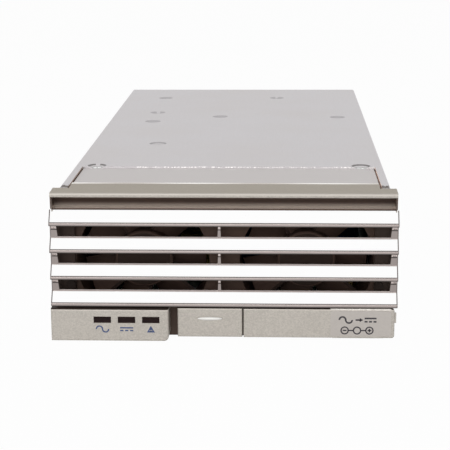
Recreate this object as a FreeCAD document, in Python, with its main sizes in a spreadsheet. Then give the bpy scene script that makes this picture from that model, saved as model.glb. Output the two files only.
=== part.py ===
import FreeCAD, Part
import os
from types import SimpleNamespace

import Sketcher

# Plug-in AC power supply module. Millimetres. X runs to the right as seen from the front,
# Y from front to back, Z up. The origin is the middle of the flat underside of the tray.

SIZES = [
    # case
    ("case_width", 140.6, "outside width of the cover"),
    ("case_height", 64.0, "top face of the cover above the underside"),
    ("tray_length", 306.0, "length of tray and cover"),
    ("sheet_wall", 1.2, "thickness of every folded sheet"),
    ("bend_radius", 0.8, "inside radius of the folds"),
    ("lap_gap", 0.15, "play between a cover flange and the tray wall"),
    ("cover_flange", 12.0, "height of the cover's side flanges"),
    ("tongue_inset", 4.3, "tongue inside the side of the cover"),
    ("tongue_length", 46.5, "length of the tongue"),
    ("tongue_drop", 0.8, "step of the tongue below the cover"),
    ("slit_width", 0.6, "slit at each side of the tongue"),
    ("dimple_radius", 4.3, "rim of a formed screw dimple"),
    ("dimple_depth", 1.0, "depth of a formed screw dimple"),
    ("head_radius", 2.8, "countersunk screw head"),
    ("head_height", 1.2, "height of the countersunk head"),
    ("shank_radius", 1.5, "shank of the cover screws"),
    ("shank_length", 5.0, "length of the shank below the head"),
    # front moulding
    ("bezel_depth", 14.0, "slat edges to the front edge of the tray"),
    ("lip_overhang", 2.0, "lip beyond each side of the case"),
    ("lip_step", 0.9, "back edge of the lip above the cover"),
    ("lip_depth", 19.5, "slat edges to the back edge of the lip"),
    ("lip_drop", 1.7, "underside of the lip below the cover"),
    ("nose_set", 0.6, "slat edges to the nose of the lip"),
    ("nose_step", 0.2, "upper edge of the nose above the cover"),
    ("nose_radius", 0.7, "rounding of the nose"),
    ("flange_inset", 0.6, "lip's rear flange inside the tongue"),
    ("corner_set", 10.0, "slat edges to the back of the lip's corners"),
    ("corner_drop", 1.0, "floor of the lip's corner notches below the cover"),
    ("recess_back", 11.4, "slat edges to the back wall of the finger recess"),
    ("recess_front", 4.4, "slat edges to the front of the recess sill"),
    ("sill_drop", 6.8, "sill of the finger recess below the cover"),
    ("recess_rise", 2.4, "height of the slope behind the sill"),
    ("recess_slope", 2.6, "depth of the slope behind the sill"),
    ("recess_radius", 1.6, "rounding inside the recess"),
    ("cheek_wall", 0.5, "wall at each end of the recess"),
    ("head_wall", 1.0, "moulding over the air window"),
    ("window_drop", 8.4, "top of the air window below the cover"),
    ("shelf_low", 15.4, "underside of the shelf over the lower row"),
    ("shelf_wall", 1.8, "thickness of the shelf"),
    ("row_depth", 8.5, "slat edges to the wall behind the lower row"),
    ("row_wall", 2.0, "thickness of the wall behind the lower row"),
    ("row_wall_low", 0.4, "lower edge of the wall behind the lower row"),
    ("row_wall_inset", 1.9, "wall behind the lower row short of the hinge line"),
    ("tap_radius", 1.2, "small screws of the front"),
    ("tap_head", 2.0, "head of the small screws"),
    ("tap_head_height", 1.3, "head height of the small screws"),
    ("bezel_screw_edge", 1.95, "bezel screws inside the tray wall"),
    ("bezel_screw_low", 22.0, "lower bezel screws above the underside"),
    ("bezel_screw_drop", 5.6, "upper bezel screws below the window's top"),
    # louvre
    ("slat_overhang", 2.7, "slats beyond each side of the case"),
    ("slat_low", 16.6, "front edge of the lowest slat"),
    ("slat_headroom", 4.26, "window top above the front edge of the top slat"),
    ("slat_run", 2.9, "set-back of a slat's upper edge"),
    ("slat_rise", 4.65, "height of a slat's sloping face"),
    ("slat_wall", 1.3, "thickness of a slat"),
    ("slat_lip", 1.15, "upright edge under a slat's face"),
    ("slat_edge_radius", 0.35, "rounding of a slat's front edge"),
    ("bead_run", 0.9, "depth of the bead along a slat's upper edge"),
    ("bead_rise", 0.55, "height of that bead"),
    ("top_rise", 0.55, "top slat's face taller than the others"),
    ("top_run", 0.38, "set-back of that taller part"),
    ("rib_front", 3.3, "slat edges to the front of the ribs"),
    ("rib_top", 0.7, "width of the middle rib under a slat"),
    ("rib_foot", 1.6, "width of the middle rib on a slat"),
    ("rib_offset", 1.8, "middle rib to the left of the middle"),
    ("end_rib_top", 2.4, "width of an end rib under a slat"),
    ("end_rib_foot", 3.4, "width of an end rib on a slat"),
    ("snap_inset", 0.6, "snap slot inside the end rib's outer face"),
    ("snap_width", 1.6, "width of a snap slot in an end rib"),
    ("snap_height", 0.4, "height of a snap slot"),
    ("snap_drop", 1.3, "snap slot below the slat over it"),
    ("snap_depth", 1.2, "depth of a snap slot"),
    # lower row
    ("row_top", 14.9, "top of the lower row"),
    ("row_low", 2.2, "underside of latch and lever"),
    ("panel_right", 23.2, "right end of the indicator panel from the middle"),
    ("panel_low", 0.8, "underside of the indicator panel"),
    ("panel_step", 0.1, "indicator panel below the top of the lower row"),
    ("panel_proud", 1.95, "indicator panel in front of the slat edges"),
    ("panel_wall", 2.0, "front wall of the indicator panel"),
    ("panel_rim", 1.5, "side walls of the indicator panel"),
    ("panel_edge", 0.8, "rounding of the panel's front edges"),
    ("panel_corner", 2.0, "rounding of the panel's lower right corner"),
    ("lens_width", 7.3, "width of an indicator window"),
    ("lens_height", 2.3, "height of an indicator window"),
    ("lens_low", 9.1, "lower edge of the indicator windows"),
    ("lens_lead", 31.6, "left edge of the first window from the panel's right end"),
    ("lens_pitch", 10.25, "distance from window to window"),
    ("lens_play", 0.08, "play of a lens in its window"),
    ("lens_proud", 0.05, "lens face in front of the panel face"),
    ("lens_flange", 0.8, "flange round the back of a lens"),
    ("lens_flange_wall", 1.0, "thickness of that flange"),
    ("lens_pipe", 2.0, "light pipe behind the flange"),
    ("lamp_width", 4.0, "width of an indicator lamp"),
    ("lamp_height", 2.0, "height of an indicator lamp"),
    ("lamp_depth", 3.6, "depth of an indicator lamp"),
    ("card_wall", 1.6, "thickness of a circuit board"),
    ("lamp_card_width", 31.0, "width of the indicator board"),
    ("lamp_card_height", 10.0, "height of the indicator board"),
    ("latch_left", 19.5, "left end of the latch from the middle"),
    ("latch_right", 7.9, "right end of the latch from the middle"),
    ("latch_set", 0.3, "latch face behind the slat edges"),
    ("latch_wall", 2.2, "front wall of the latch"),
    ("latch_rim", 1.5, "side walls of the latch"),
    ("latch_edge", 0.6, "rounding of the latch's front edges"),
    ("latch_travel", 3.0, "how far the latch slides to the left"),
    ("slide_gap", 0.3, "play between sliding pieces"),
    ("thumb_half", 5.5, "half width of the thumb rib"),
    ("thumb_height", 1.7, "height of the thumb rib"),
    ("thumb_proud", 1.0, "thumb rib in front of the latch"),
    ("thumb_rise", 10.4, "thumb rib above the underside"),
    ("stem_width", 6.0, "width of the latch stem"),
    ("stem_height", 4.0, "height of the latch stem"),
    ("stem_low", 6.6, "underside of the latch stem"),
    ("keeper_side", 4.0, "keeper beyond the stem at each side"),
    ("keeper_rise", 2.0, "keeper above and below the stem"),
    ("keeper_wall", 1.0, "thickness of the keeper"),
    ("keeper_tab", 2.6, "depth of the keeper's spring tab"),
    ("spring_depth", 2.0, "depth of the folded latch spring"),
    ("spring_wall", 0.3, "strip of the latch spring"),
    ("spring_height", 3.0, "height of the latch spring"),
    ("spring_length", 12.0, "latch spring as fitted"),
    ("boss_wall", 1.5, "boss that holds the spring"),
    ("boss_depth", 3.2, "depth of the spring boss"),
    ("lever_left", 8.4, "left end of the lever from the middle"),
    ("lever_end", 1.1, "right end of the lever inside the slat ends"),
    ("lever_wall", 2.4, "front wall of the lever"),
    ("lever_edge", 0.6, "rounding of the lever's front edges"),
    ("lever_corner", 1.2, "rounding of the lever's right corners"),
    ("lever_flange", 7.0, "slat edges to the back of the lever's flanges"),
    ("lever_rim", 1.5, "thickness of the lever's flanges"),
    ("lever_flange_gap", 1.0, "lever's flanges to the hinge bracket"),
    ("pivot_inset", 5.5, "hinge line inside the lever's right end"),
    ("pivot_depth", 5.0, "slat edges to the hinge line"),
    ("pin_radius", 1.2, "hinge pin"),
    ("pin_play", 0.05, "play of the lever on its pin"),
    ("barrel_radius", 2.2, "barrel of the lever"),
    ("arm_inset", 1.0, "lever's hinge arm inside the hinge bracket"),
    ("lug_reach", 0.7, "lug beyond the lever's right end"),
    ("lug_low", 8.8, "underside of the lug"),
    ("lug_top", 13.0, "top of the lug"),
    ("lug_front", 0.7, "slat edges to the front of the lug"),
    ("lug_back", 2.1, "slat edges to the back of the lug"),
    ("bracket_wall", 0.8, "sheet of the hinge bracket"),
    ("bracket_length", 17.5, "length of the bracket's back"),
    ("bracket_inset", 2.9, "bracket's back short of the hinge line"),
    ("bracket_low", 1.3, "underside of the hinge bracket"),
    ("bracket_top", 15.1, "top of the hinge bracket"),
    ("ear_front", 2.7, "slat edges to the front of the bracket's ears"),
    ("ear_gap", 0.25, "play between the ears and the lever"),
    # fans
    ("fan_clear", 4.0, "case height beyond a fan frame"),
    ("fan_spacing", 13.1, "width beyond the fan frames"),
    ("fan_depth", 25.0, "depth of a fan frame"),
    ("fan_middle", 10.0, "gap between the fan frames"),
    ("fan_top_gap", 0.3, "fan frames below the top of their bracket"),
    ("fan_wall", 1.4, "frame round the air bore at its thinnest"),
    ("fan_corner", 4.0, "corner radius of a fan frame"),
    ("fan_hole_inset", 5.0, "corner holes inside the fan frame"),
    ("fan_hole", 2.1, "corner hole radius"),
    ("motor_radius", 12.5, "motor base and hub radius"),
    ("motor_wall", 3.0, "thickness of the motor base"),
    ("strut_width", 3.0, "width of the struts that hold the motor base"),
    ("strut_seat", 1.0, "strut ends inside the wall of the bore"),
    ("hub_front", 3.0, "fan face to the face of the hub"),
    ("hub_back", 20.5, "fan face to the back of the hub"),
    ("hub_edge", 1.5, "rounding of the hub's face"),
    ("blade_gap", 0.9, "blade tips to the air bore"),
    ("blade_wall", 1.4, "thickness of a blade"),
    ("blade_hub_rise", 4.2, "half of a blade's depth along the axis at the hub"),
    ("blade_tip_rise", 7.2, "half of a blade's depth along the axis at the tip"),
    ("blade_middle", 11.5, "fan face to the middle of the blades"),
    ("shaft_radius", 1.5, "fan shaft"),
    ("shaft_play", 0.05, "play of the shaft in its bearing"),
    ("shaft_end", 24.5, "fan face to the end of the shaft"),
    ("fan_rivet", 1.9, "rivets that hold the fans"),
    ("tray_arm", 56.0, "length of the fan bracket's side arms"),
    ("tab_length", 14.0, "length of the fan bracket's cover tabs"),
    ("tab_width", 13.0, "width of the fan bracket's cover tabs"),
    ("front_screw_inset", 7.45, "front cover screws inside the tray wall"),
    ("front_screw_y", 63.0, "slat edges to the front cover screws"),
    # boards and power parts, depths from the slat edges
    ("board_side", 5.75, "main board to the tray wall"),
    ("board_front", 74.0, "front edge of the main board"),
    ("board_end", 8.0, "main board to the back of the tray"),
    ("board_rise", 6.0, "spacers under the main board"),
    ("spacer_radius", 3.0, "spacers"),
    ("spacer_inset", 5.0, "spacers inside the board's sides"),
    ("spacer_front", 82.0, "front spacers"),
    ("spacer_after", 20.0, "middle spacers behind the last bulk capacitor"),
    ("spacer_end", 14.0, "back spacers inside the board's back edge"),
    ("insulator_wall", 0.4, "insulating sheet on the tray"),
    ("insulator_inset", 3.0, "insulating sheet inside the board's outline"),
    ("sink_wall", 4.0, "upright of a heat sink bar"),
    ("sink_flange", 8.0, "half width of a bar's top flange"),
    ("sink_fin", 1.6, "thickness of a fin"),
    ("sink_fin_reach", 10.0, "length of a fin"),
    ("sink_fin_pitch", 7.5, "distance from fin to fin"),
    ("sink_fin_first", 18.0, "lowest fin above the underside"),
    ("left_sink_inset", 21.65, "left bar to the tray wall"),
    ("left_sink_front", 184.0, "front of the left bar"),
    ("left_sink_end", 30.0, "left bar to the back of the tray"),
    ("left_screw_front", 191.8, "front screw of the left bar"),
    ("left_screw_middle", 223.7, "middle screw of the left bar"),
    ("left_screw_end", 7.6, "back screw of the left bar from its end"),
    ("right_sink_inset", 12.35, "right bar to the tray wall"),
    ("right_sink_front", 160.0, "front of the right bar"),
    ("right_sink_length", 96.0, "length of the right bar"),
    ("right_screw", 207.3, "screw of the right bar"),
    ("rear_sink_x", 21.6, "middle of the rear bar"),
    ("rear_sink_end", 37.0, "rear bar to the back of the tray"),
    ("rear_sink_half", 28.0, "half length of the rear bar"),
    ("chip_width", 15.6, "power transistor width"),
    ("chip_height", 20.0, "power transistor height"),
    ("chip_wall", 5.0, "power transistor thickness"),
    ("chip_rise", 14.0, "power transistors above the board"),
    ("chip_pitch", 24.0, "distance from transistor to transistor"),
    ("lead_width", 1.2, "transistor leads"),
    ("lead_pitch", 5.4, "distance from lead to lead"),
    ("transformer_side", 36.2, "transformer to the left bar"),
    ("transformer_y", 209.1, "depth of the transformer"),
    ("transformer_width", 42.0, "width of the transformer core"),
    ("transformer_length", 38.0, "length of the transformer core"),
    ("choke_inset", 30.45, "boost choke to the tray wall"),
    ("choke_y", 121.7, "depth of the boost choke"),
    ("choke_width", 36.0, "width of the boost choke core"),
    ("choke_length", 30.0, "length of the boost choke core"),
    ("core_headroom", 9.0, "wound cores below the cover's dimples"),
    ("core_yoke", 9.0, "yokes of a wound core"),
    ("core_leg", 8.0, "outer legs of a wound core"),
    ("core_post", 6.5, "radius of a core's middle post"),
    ("winding_gap", 0.5, "winding to core"),
    ("clamp_gap", 0.3, "clamp strap to core"),
    ("clamp_width", 12.0, "width of a clamp strap"),
    ("bulk_radius", 14.4, "bulk capacitors"),
    ("bulk_height", 46.0, "height of the bulk capacitors"),
    ("bulk_side", 45.0, "first bulk capacitor from the board's right side"),
    ("bulk_y", 98.0, "depth of the first bulk capacitor"),
    ("bulk_pitch", 30.0, "distance from bulk capacitor to bulk capacitor"),
    ("bulk_edge", 1.5, "rounding of the bulk capacitors"),
    ("small_radius", 5.0, "output capacitors"),
    ("small_height", 24.0, "height of the output capacitors"),
    ("small_side", 18.1, "first output capacitor to the left bar"),
    ("small_y", 252.0, "depth of the first output capacitor"),
    ("small_pitch", 12.0, "distance from output capacitor to output capacitor"),
    ("ring_outer", 12.5, "outside radius of the wound rings"),
    ("ring_inner", 5.0, "inside radius of the wound rings"),
    ("ring_height", 10.0, "height of the wound rings"),
    ("filter_inset", 23.75, "filter choke to the tray wall"),
    ("filter_y", 92.0, "depth of the filter choke"),
    ("output_ring_x", 26.0, "output choke from the middle"),
    ("output_ring_y", 248.0, "depth of the output choke"),
    ("film_width", 18.0, "width of a filter capacitor"),
    ("film_length", 9.0, "length of a filter capacitor"),
    ("film_height", 16.0, "height of a filter capacitor"),
    ("film_x", 24.0, "filter capacitors to the left of the middle"),
    ("film_y", 80.0, "depth of the first filter capacitor"),
    ("film_pitch", 12.0, "distance from filter capacitor to filter capacitor"),
    ("relay_width", 13.0, "width of the relay"),
    ("relay_length", 20.0, "length of the relay"),
    ("relay_height", 18.0, "height of the relay"),
    ("relay_side", 23.3, "left side of the relay from the boost choke"),
    ("relay_y", 112.0, "front of the relay"),
    ("fuse_radius", 3.2, "fuse"),
    ("fuse_length", 30.0, "length of the fuse"),
    ("fuse_inset", 17.75, "fuse to the tray wall"),
    ("fuse_y", 145.0, "front end of the fuse"),
    ("fuse_rise", 1.0, "fuse above the board"),
    ("clip_length", 5.0, "fuse clips"),
    ("control_x", 28.0, "control card from the middle"),
    ("control_front", 150.0, "front edge of the control card"),
    ("control_length", 62.0, "length of the control card"),
    ("control_height", 36.0, "height of the control card"),
    # rear
    ("plug_half", 39.0, "half width of the rear connector"),
    ("plug_inside", 18.0, "rear connector inside the back of the tray"),
    ("plug_proud", 8.0, "mating face behind the back of the tray"),
    ("plug_height", 20.0, "height of the rear connector"),
    ("plug_pocket", 10.0, "depth of the contact pockets"),
    ("plug_wall", 2.0, "walls of the contact pockets"),
    ("plug_gap", 0.5, "rear connector to the edge of its opening"),
    ("pocket_pitch", 25.3, "distance from pocket to pocket"),
    ("contact_wall", 0.8, "thickness of a contact strip"),
    ("contact_width", 4.0, "width of a contact strip"),
    ("contact_pitch", 7.0, "distance from strip to strip"),
    ("contact_reach", 8.0, "contact strip inside its pocket"),
    ("rear_flange", 12.0, "side flanges of the rear panel"),
    ("vent_width", 3.0, "width of a rear air slot"),
    ("vent_low", 34.0, "lower end of the rear air slots"),
    ("vent_drop", 5.8, "upper end of the rear air slots below the cover"),
    ("vent_side", 10.75, "outer air slots to the tray wall"),
    ("rear_screw_low", 14.0, "lower rear screws"),
    ("rear_screw_high", 40.0, "upper rear screws"),
    ("rear_screw_inset", 7.0, "rear screws from the back edge of the tray"),
    ("rear_screw_head", 1.1, "head height of the rear screws"),
    ("bar_width", 8.0, "output bars"),
    ("bar_wall", 2.0, "thickness of the output bars"),
    ("bar_x", 10.0, "first output bar from the middle"),
    ("bar_pitch", 16.0, "distance between the output bars"),
    ("bar_length", 12.0, "length of the output bars"),
]

SLAT_COUNT = 4
BLADE_COUNT = 7
BLADE_PITCH = 1.15
LENS_NAMES = ["input_lens", "output_lens", "alarm_lens"]
VENT_COUNT = 20
FIN_COUNT = 5
POCKET_COUNT = 3
SPRING_FOLDS = 8
STRIP_COUNT = 3
CHIP_COUNT = 4
FILM_COUNT = 2
BAR_COUNT = 2


class Size:
    """A length with the sheet formula that gives it."""

    def __init__(self, value, text):
        self.value = value
        self.text = text

    def __add__(self, other):
        other = as_size(other)
        return Size(self.value + other.value, f"({self.text} + {other.text})")

    def __radd__(self, other):
        return as_size(other) + self

    def __sub__(self, other):
        other = as_size(other)
        return Size(self.value - other.value, f"({self.text} - {other.text})")

    def __rsub__(self, other):
        return as_size(other) - self

    def __mul__(self, factor):
        return Size(self.value * factor, f"({self.text} * {factor})")

    __rmul__ = __mul__

    def __truediv__(self, factor):
        return Size(self.value / factor, f"({self.text} / {factor})")

    def __neg__(self):
        return Size(-self.value, f"(-{self.text})")


def as_size(number):
    """A Size stays as it is; a plain number becomes one."""
    if isinstance(number, Size):
        return number
    return Size(float(number), f"{float(number):.6g}")


doc = FreeCAD.newDocument("ac_power_supply_module")
sheet = doc.addObject("Spreadsheet::Sheet", "Sizes")
s = SimpleNamespace()
for row, (alias, number, note) in enumerate(SIZES, start=1):
    sheet.set(f"A{row}", note)
    sheet.set(f"B{row}", str(number))
    sheet.setAlias(f"B{row}", alias)
    setattr(s, alias, Size(number, f"Sizes.{alias}"))
doc.recompute()


def smaller(first, second):
    """The smaller of two lengths."""
    return Size(min(first.value, second.value), f"min({first.text}; {second.text})")


# planes and widths that several pieces share
tray_front = -s.tray_length / 2
tray_rear = s.tray_length / 2
front = tray_front - s.bezel_depth
tray_half = s.case_width / 2 - s.sheet_wall - s.lap_gap
tray_inner = tray_half - s.sheet_wall
cover_under = s.case_height - s.sheet_wall
tongue_half = s.case_width / 2 - s.tongue_inset
tongue_top = s.case_height - s.tongue_drop
seat_level = cover_under - s.dimple_depth
fold_top = s.sheet_wall + s.bend_radius
board_half = tray_inner - s.board_side
board_back = tray_rear - s.board_end
board_low = s.sheet_wall + s.board_rise
board_top = board_low + s.card_wall
row_wall_back = front + s.row_depth + s.row_wall
bracket_back = tray_front + s.sheet_wall

# levels of the front, down from the cover
lip_top = s.case_height + s.lip_step
lip_under = s.case_height - s.lip_drop
nose_top = s.case_height + s.nose_step
recess_sill = s.case_height - s.sill_drop
window_top = s.case_height - s.window_drop
slat_pitch = (window_top - s.slat_headroom - s.slat_low) / (SLAT_COUNT - 1)
bezel_screw_high = window_top - s.bezel_screw_drop

# ends of the front, from the sides of the case
lip_half = s.case_width / 2 + s.lip_overhang
slat_half = s.case_width / 2 + s.slat_overhang
flange_half = tongue_half - s.flange_inset
bezel_screw_x = tray_inner - s.bezel_screw_edge
window_half = bezel_screw_x - s.tap_head
lens_first = s.panel_right + s.lens_lead
lever_right = slat_half - s.lever_end
pivot_x = lever_right - s.pivot_inset
row_wall_right = pivot_x - s.row_wall_inset
bracket_right = pivot_x - s.bracket_inset
bracket_left = bracket_right - s.bracket_length
arm_left = bracket_left + s.arm_inset
lever_flange_end = bracket_left - s.lever_flange_gap

# fans fill the case side by side
fan_size = smaller(s.case_height - s.fan_clear, tray_inner - s.sheet_wall - s.fan_spacing / 2)
fan_x = (fan_size + s.fan_middle) / 2
fan_rise = seat_level - s.fan_top_gap - fan_size / 2
fan_bore = fan_size / 2 - s.fan_wall
fan_hole_pitch = fan_size / 2 - s.fan_hole_inset

# power parts, from the walls of the tray
left_sink_x = tray_inner - s.left_sink_inset
left_sink_back = tray_rear - s.left_sink_end
right_sink_x = tray_inner - s.right_sink_inset
rear_sink_y = tray_rear - s.rear_sink_end
front_screw_x = tray_inner - s.front_screw_inset
transformer_x = left_sink_x - s.transformer_side
choke_x = tray_inner - s.choke_inset
bulk_x = board_half - s.bulk_side
small_x = left_sink_x - s.small_side
filter_x = tray_inner - s.filter_inset
fuse_x = tray_inner - s.fuse_inset
spacer_x = board_half - s.spacer_inset
relay_x = choke_x - s.relay_side
core_height = seat_level - board_top - s.core_headroom
vent_first = tray_inner - s.vent_side
plug_front = tray_rear - s.plug_inside
plug_back = tray_rear + s.plug_proud

nodes = {}


def bind(obj, **formulas):
    """Tie properties to their formulas; double underscores stand for dots."""
    for name, length in formulas.items():
        obj.setExpression(name.replace("__", "."), as_size(length).text)


def place(obj, x, y, z):
    bind(obj, Placement__Base__x=x, Placement__Base__y=y, Placement__Base__z=z)


def finish(node, obj):
    """Name an object as one node of the module."""
    obj.Label = node
    nodes[node] = obj
    return obj


def box(name, x0, x1, y0, y1, z0, z1):
    obj = doc.addObject("Part::Box", name)
    bind(obj, Length=as_size(x1) - x0, Width=as_size(y1) - y0, Height=as_size(z1) - z0)
    place(obj, x0, y0, z0)
    return obj


TURNS = {
    "X": FreeCAD.Rotation(FreeCAD.Vector(0, 1, 0), 90),
    "-X": FreeCAD.Rotation(FreeCAD.Vector(0, 1, 0), -90),
    "Y": FreeCAD.Rotation(FreeCAD.Vector(1, 0, 0), -90),
    "Z": FreeCAD.Rotation(),
    "-Z": FreeCAD.Rotation(FreeCAD.Vector(1, 0, 0), 180),
}


def cylinder(name, axis, x, y, z, radius, length):
    obj = doc.addObject("Part::Cylinder", name)
    obj.Placement = FreeCAD.Placement(FreeCAD.Vector(), TURNS[axis])
    bind(obj, Radius=radius, Height=length)
    place(obj, x, y, z)
    return obj


def cone(name, axis, x, y, z, radius, end_radius, length):
    obj = doc.addObject("Part::Cone", name)
    obj.Placement = FreeCAD.Placement(FreeCAD.Vector(), TURNS[axis])
    bind(obj, Radius1=radius, Radius2=end_radius, Height=length)
    place(obj, x, y, z)
    return obj


def fuse(name, pieces):
    obj = doc.addObject("Part::MultiFuse", name)
    obj.Shapes = pieces
    return obj


def group(name, pieces):
    obj = doc.addObject("Part::Compound", name)
    obj.Links = pieces
    return obj


def cut(name, base, tools):
    obj = doc.addObject("Part::Cut", name)
    obj.Base = base
    obj.Tool = tools[0] if len(tools) == 1 else group(name + "_tools", tools)
    return obj


def new_body(name):
    body = doc.addObject("PartDesign::Body", name)
    body.AllowCompound = True
    return body


def origin_feature(body, role):
    return [item for item in body.Origin.OriginFeatures if item.Role == role][0]


def rect(x0, x1, y0, y1):
    return [(x0, y0), (x1, y0), (x1, y1), (x0, y1)]


def disc(x, y, radius):
    return ("disc", x, y, radius)


def fix_point(sketch, geometry, point, x, y):
    for kind, length in (("DistanceX", x), ("DistanceY", y)):
        length = as_size(length)
        number = sketch.addConstraint(Sketcher.Constraint(kind, -1, 1, geometry, point, length.value))
        sketch.setExpression(f"Constraints[{number}]", length.text)


def draw_disc(sketch, x, y, radius):
    x, y, radius = as_size(x), as_size(y), as_size(radius)
    centre = FreeCAD.Vector(x.value, y.value, 0)
    index = sketch.addGeometry(Part.Circle(centre, FreeCAD.Vector(0, 0, 1), radius.value), False)
    fix_point(sketch, index, 3, x, y)
    number = sketch.addConstraint(Sketcher.Constraint("Radius", index, radius.value))
    sketch.setExpression(f"Constraints[{number}]", radius.text)


def draw_polygon(sketch, points):
    points = [(as_size(x), as_size(y)) for x, y in points]
    corners = [FreeCAD.Vector(x.value, y.value, 0) for x, y in points]
    count = len(corners)
    first = sketch.GeometryCount
    for index in range(count):
        line = Part.LineSegment(corners[index], corners[(index + 1) % count])
        sketch.addGeometry(line, False)
    for index in range(count):
        following = first + (index + 1) % count
        sketch.addConstraint(Sketcher.Constraint("Coincident", first + index, 2, following, 1))
        fix_point(sketch, first + index, 1, *points[index])


def outline(body, plane, offset, loops):
    """A sketch on an origin plane of the body, moved along the plane's normal."""
    sketch = body.newObject("Sketcher::SketchObject", body.Name + "_outline")
    sketch.AttachmentSupport = (origin_feature(body, plane + "_Plane"), [""])
    sketch.MapMode = "FlatFace"
    bind(sketch, AttachmentOffset__Base__z=offset)
    for loop in loops:
        if loop[0] == "disc":
            draw_disc(sketch, *loop[1:])
        else:
            draw_polygon(sketch, loop)
    return sketch


def pad(body, plane, low, high, *loops):
    """Add material between two levels across the plane; XZ outlines face the front."""
    low, high = as_size(low), as_size(high)
    offset = -high if plane == "XZ" else low
    feature = body.newObject("PartDesign::Pad", body.Name + "_pad")
    feature.Profile = outline(body, plane, offset, loops)
    bind(feature, Length=high - low)
    body.Tip = feature
    return feature


def pocket(body, plane, low, high, *loops):
    """Take material away between two levels across the plane."""
    low, high = as_size(low), as_size(high)
    offset = -low if plane == "XZ" else high
    feature = body.newObject("PartDesign::Pocket", body.Name + "_pocket")
    feature.Profile = outline(body, plane, offset, loops)
    bind(feature, Length=high - low)
    body.Tip = feature
    return feature


def row_of(body, feature, axis, pitch, count):
    """Repeat a feature along an axis of the body."""
    pattern = body.newObject("PartDesign::LinearPattern", body.Name + "_row")
    pattern.Originals = [feature]
    pattern.Direction = (origin_feature(body, axis + "_Axis"), [""])
    pattern.Mode = "Extent"
    pattern.Occurrences = count
    bind(pattern, Length=pitch * (count - 1))
    body.Tip = pattern
    return pattern


def along(axis, first, second):
    """Test for straight edges along an axis, at the other two coordinates."""
    lead = "XYZ".index(axis)
    wanted = [as_size(first).value, as_size(second).value]

    def test(edge):
        if len(edge.Vertexes) != 2:
            return False
        ends = [vertex.Point for vertex in edge.Vertexes]
        others = [number for number in range(3) if number != lead]
        return all(abs(end[number] - goal) < 1e-4
                   for end in ends for number, goal in zip(others, wanted))

    return test


def round_edges(body, radius, tests):
    """Round every edge of the body's tip that passes one of the tests."""
    doc.recompute()
    base = body.Tip
    names = [f"Edge{number}" for number, edge in enumerate(base.Shape.Edges, start=1)
             if any(test(edge) for test in tests)]
    if len(names) < len(tests):
        raise ValueError(f"{body.Name}: edges to round were not found")
    feature = body.newObject("PartDesign::Fillet", body.Name + "_round")
    feature.Base = (base, names)
    bind(feature, Radius=radius)
    body.Tip = feature
    return feature


def cover_screw_places():
    """Middle of every dimple in the cover."""
    return [
        (-front_screw_x, front + s.front_screw_y),
        (front_screw_x, front + s.front_screw_y),
        (-left_sink_x, front + s.left_screw_front),
        (-left_sink_x, front + s.left_screw_middle),
        (-left_sink_x, left_sink_back - s.left_screw_end),
        (right_sink_x, front + s.right_screw),
        (s.rear_sink_x, rear_sink_y),
        (-transformer_x, front + s.transformer_y),
        (-choke_x, front + s.choke_y),
    ]


def make_tray():
    body = new_body("tray")
    half, inner = tray_half, tray_inner
    profile = [(-half, cover_under), (-half, 0), (half, 0), (half, cover_under),
               (inner, cover_under), (inner, s.sheet_wall), (-inner, s.sheet_wall), (-inner, cover_under)]
    pad(body, "XZ", tray_front, tray_rear, profile)
    outer_radius = s.bend_radius + s.sheet_wall
    round_edges(body, outer_radius, [along("Y", -half, 0), along("Y", half, 0)])
    round_edges(body, s.bend_radius, [along("Y", -inner, s.sheet_wall), along("Y", inner, s.sheet_wall)])
    screw_y = tray_rear - s.rear_screw_inset
    holes = [disc(screw_y, z, s.shank_radius) for z in (s.rear_screw_low, s.rear_screw_high)]
    pocket(body, "YZ", -half, half, *holes)
    finish("chassis_tray", body)


def make_cover():
    body = new_body("cover")
    half = s.case_width / 2
    inner = half - s.sheet_wall
    skirt = s.case_height - s.cover_flange
    profile = [(-half, s.case_height), (-half, skirt), (-inner, skirt), (-inner, cover_under),
               (inner, cover_under), (inner, skirt), (half, skirt), (half, s.case_height)]
    pad(body, "XZ", tray_front, tray_rear, profile)
    round_edges(body, s.sheet_wall, [along("Y", -half, s.case_height), along("Y", half, s.case_height)])
    opening = tongue_half + s.slit_width
    tongue_end = tray_front + s.tongue_length
    pocket(body, "XY", cover_under, s.case_height, rect(-opening, opening, tray_front, tongue_end))
    step_end = tongue_end + s.sheet_wall
    tongue = rect(-tongue_half, tongue_half, tray_front, step_end)
    pad(body, "XY", tongue_top - s.sheet_wall, tongue_top, tongue)

    formed, removed = [], []
    floor = s.case_height - s.dimple_depth
    dimple = (s.dimple_radius, s.head_radius, s.dimple_depth)
    for x, y in cover_screw_places():
        formed.append(cone("dimple_under", "-Z", x, y, cover_under, *dimple))
        removed.append(cone("dimple", "-Z", x, y, s.case_height, *dimple))
        removed.append(cone("countersink", "-Z", x, y, floor, s.head_radius, s.shank_radius, s.head_height))
    finish("top_cover", cut("cover_formed", fuse("cover_dimpled", [body] + formed), removed))


def make_cover_screws():
    screws = []
    head_top = s.case_height - s.dimple_depth
    for x, y in cover_screw_places():
        head = cone("cover_screw_head", "-Z", x, y, head_top, s.head_radius, s.shank_radius, s.head_height)
        shank = cylinder("cover_screw_shank", "-Z", x, y, head_top - s.head_height,
                         s.shank_radius, s.shank_length)
        screws.append(fuse("cover_screw", [head, shank]))
    finish("cover_screws", group("cover_screw_set", screws))


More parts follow.
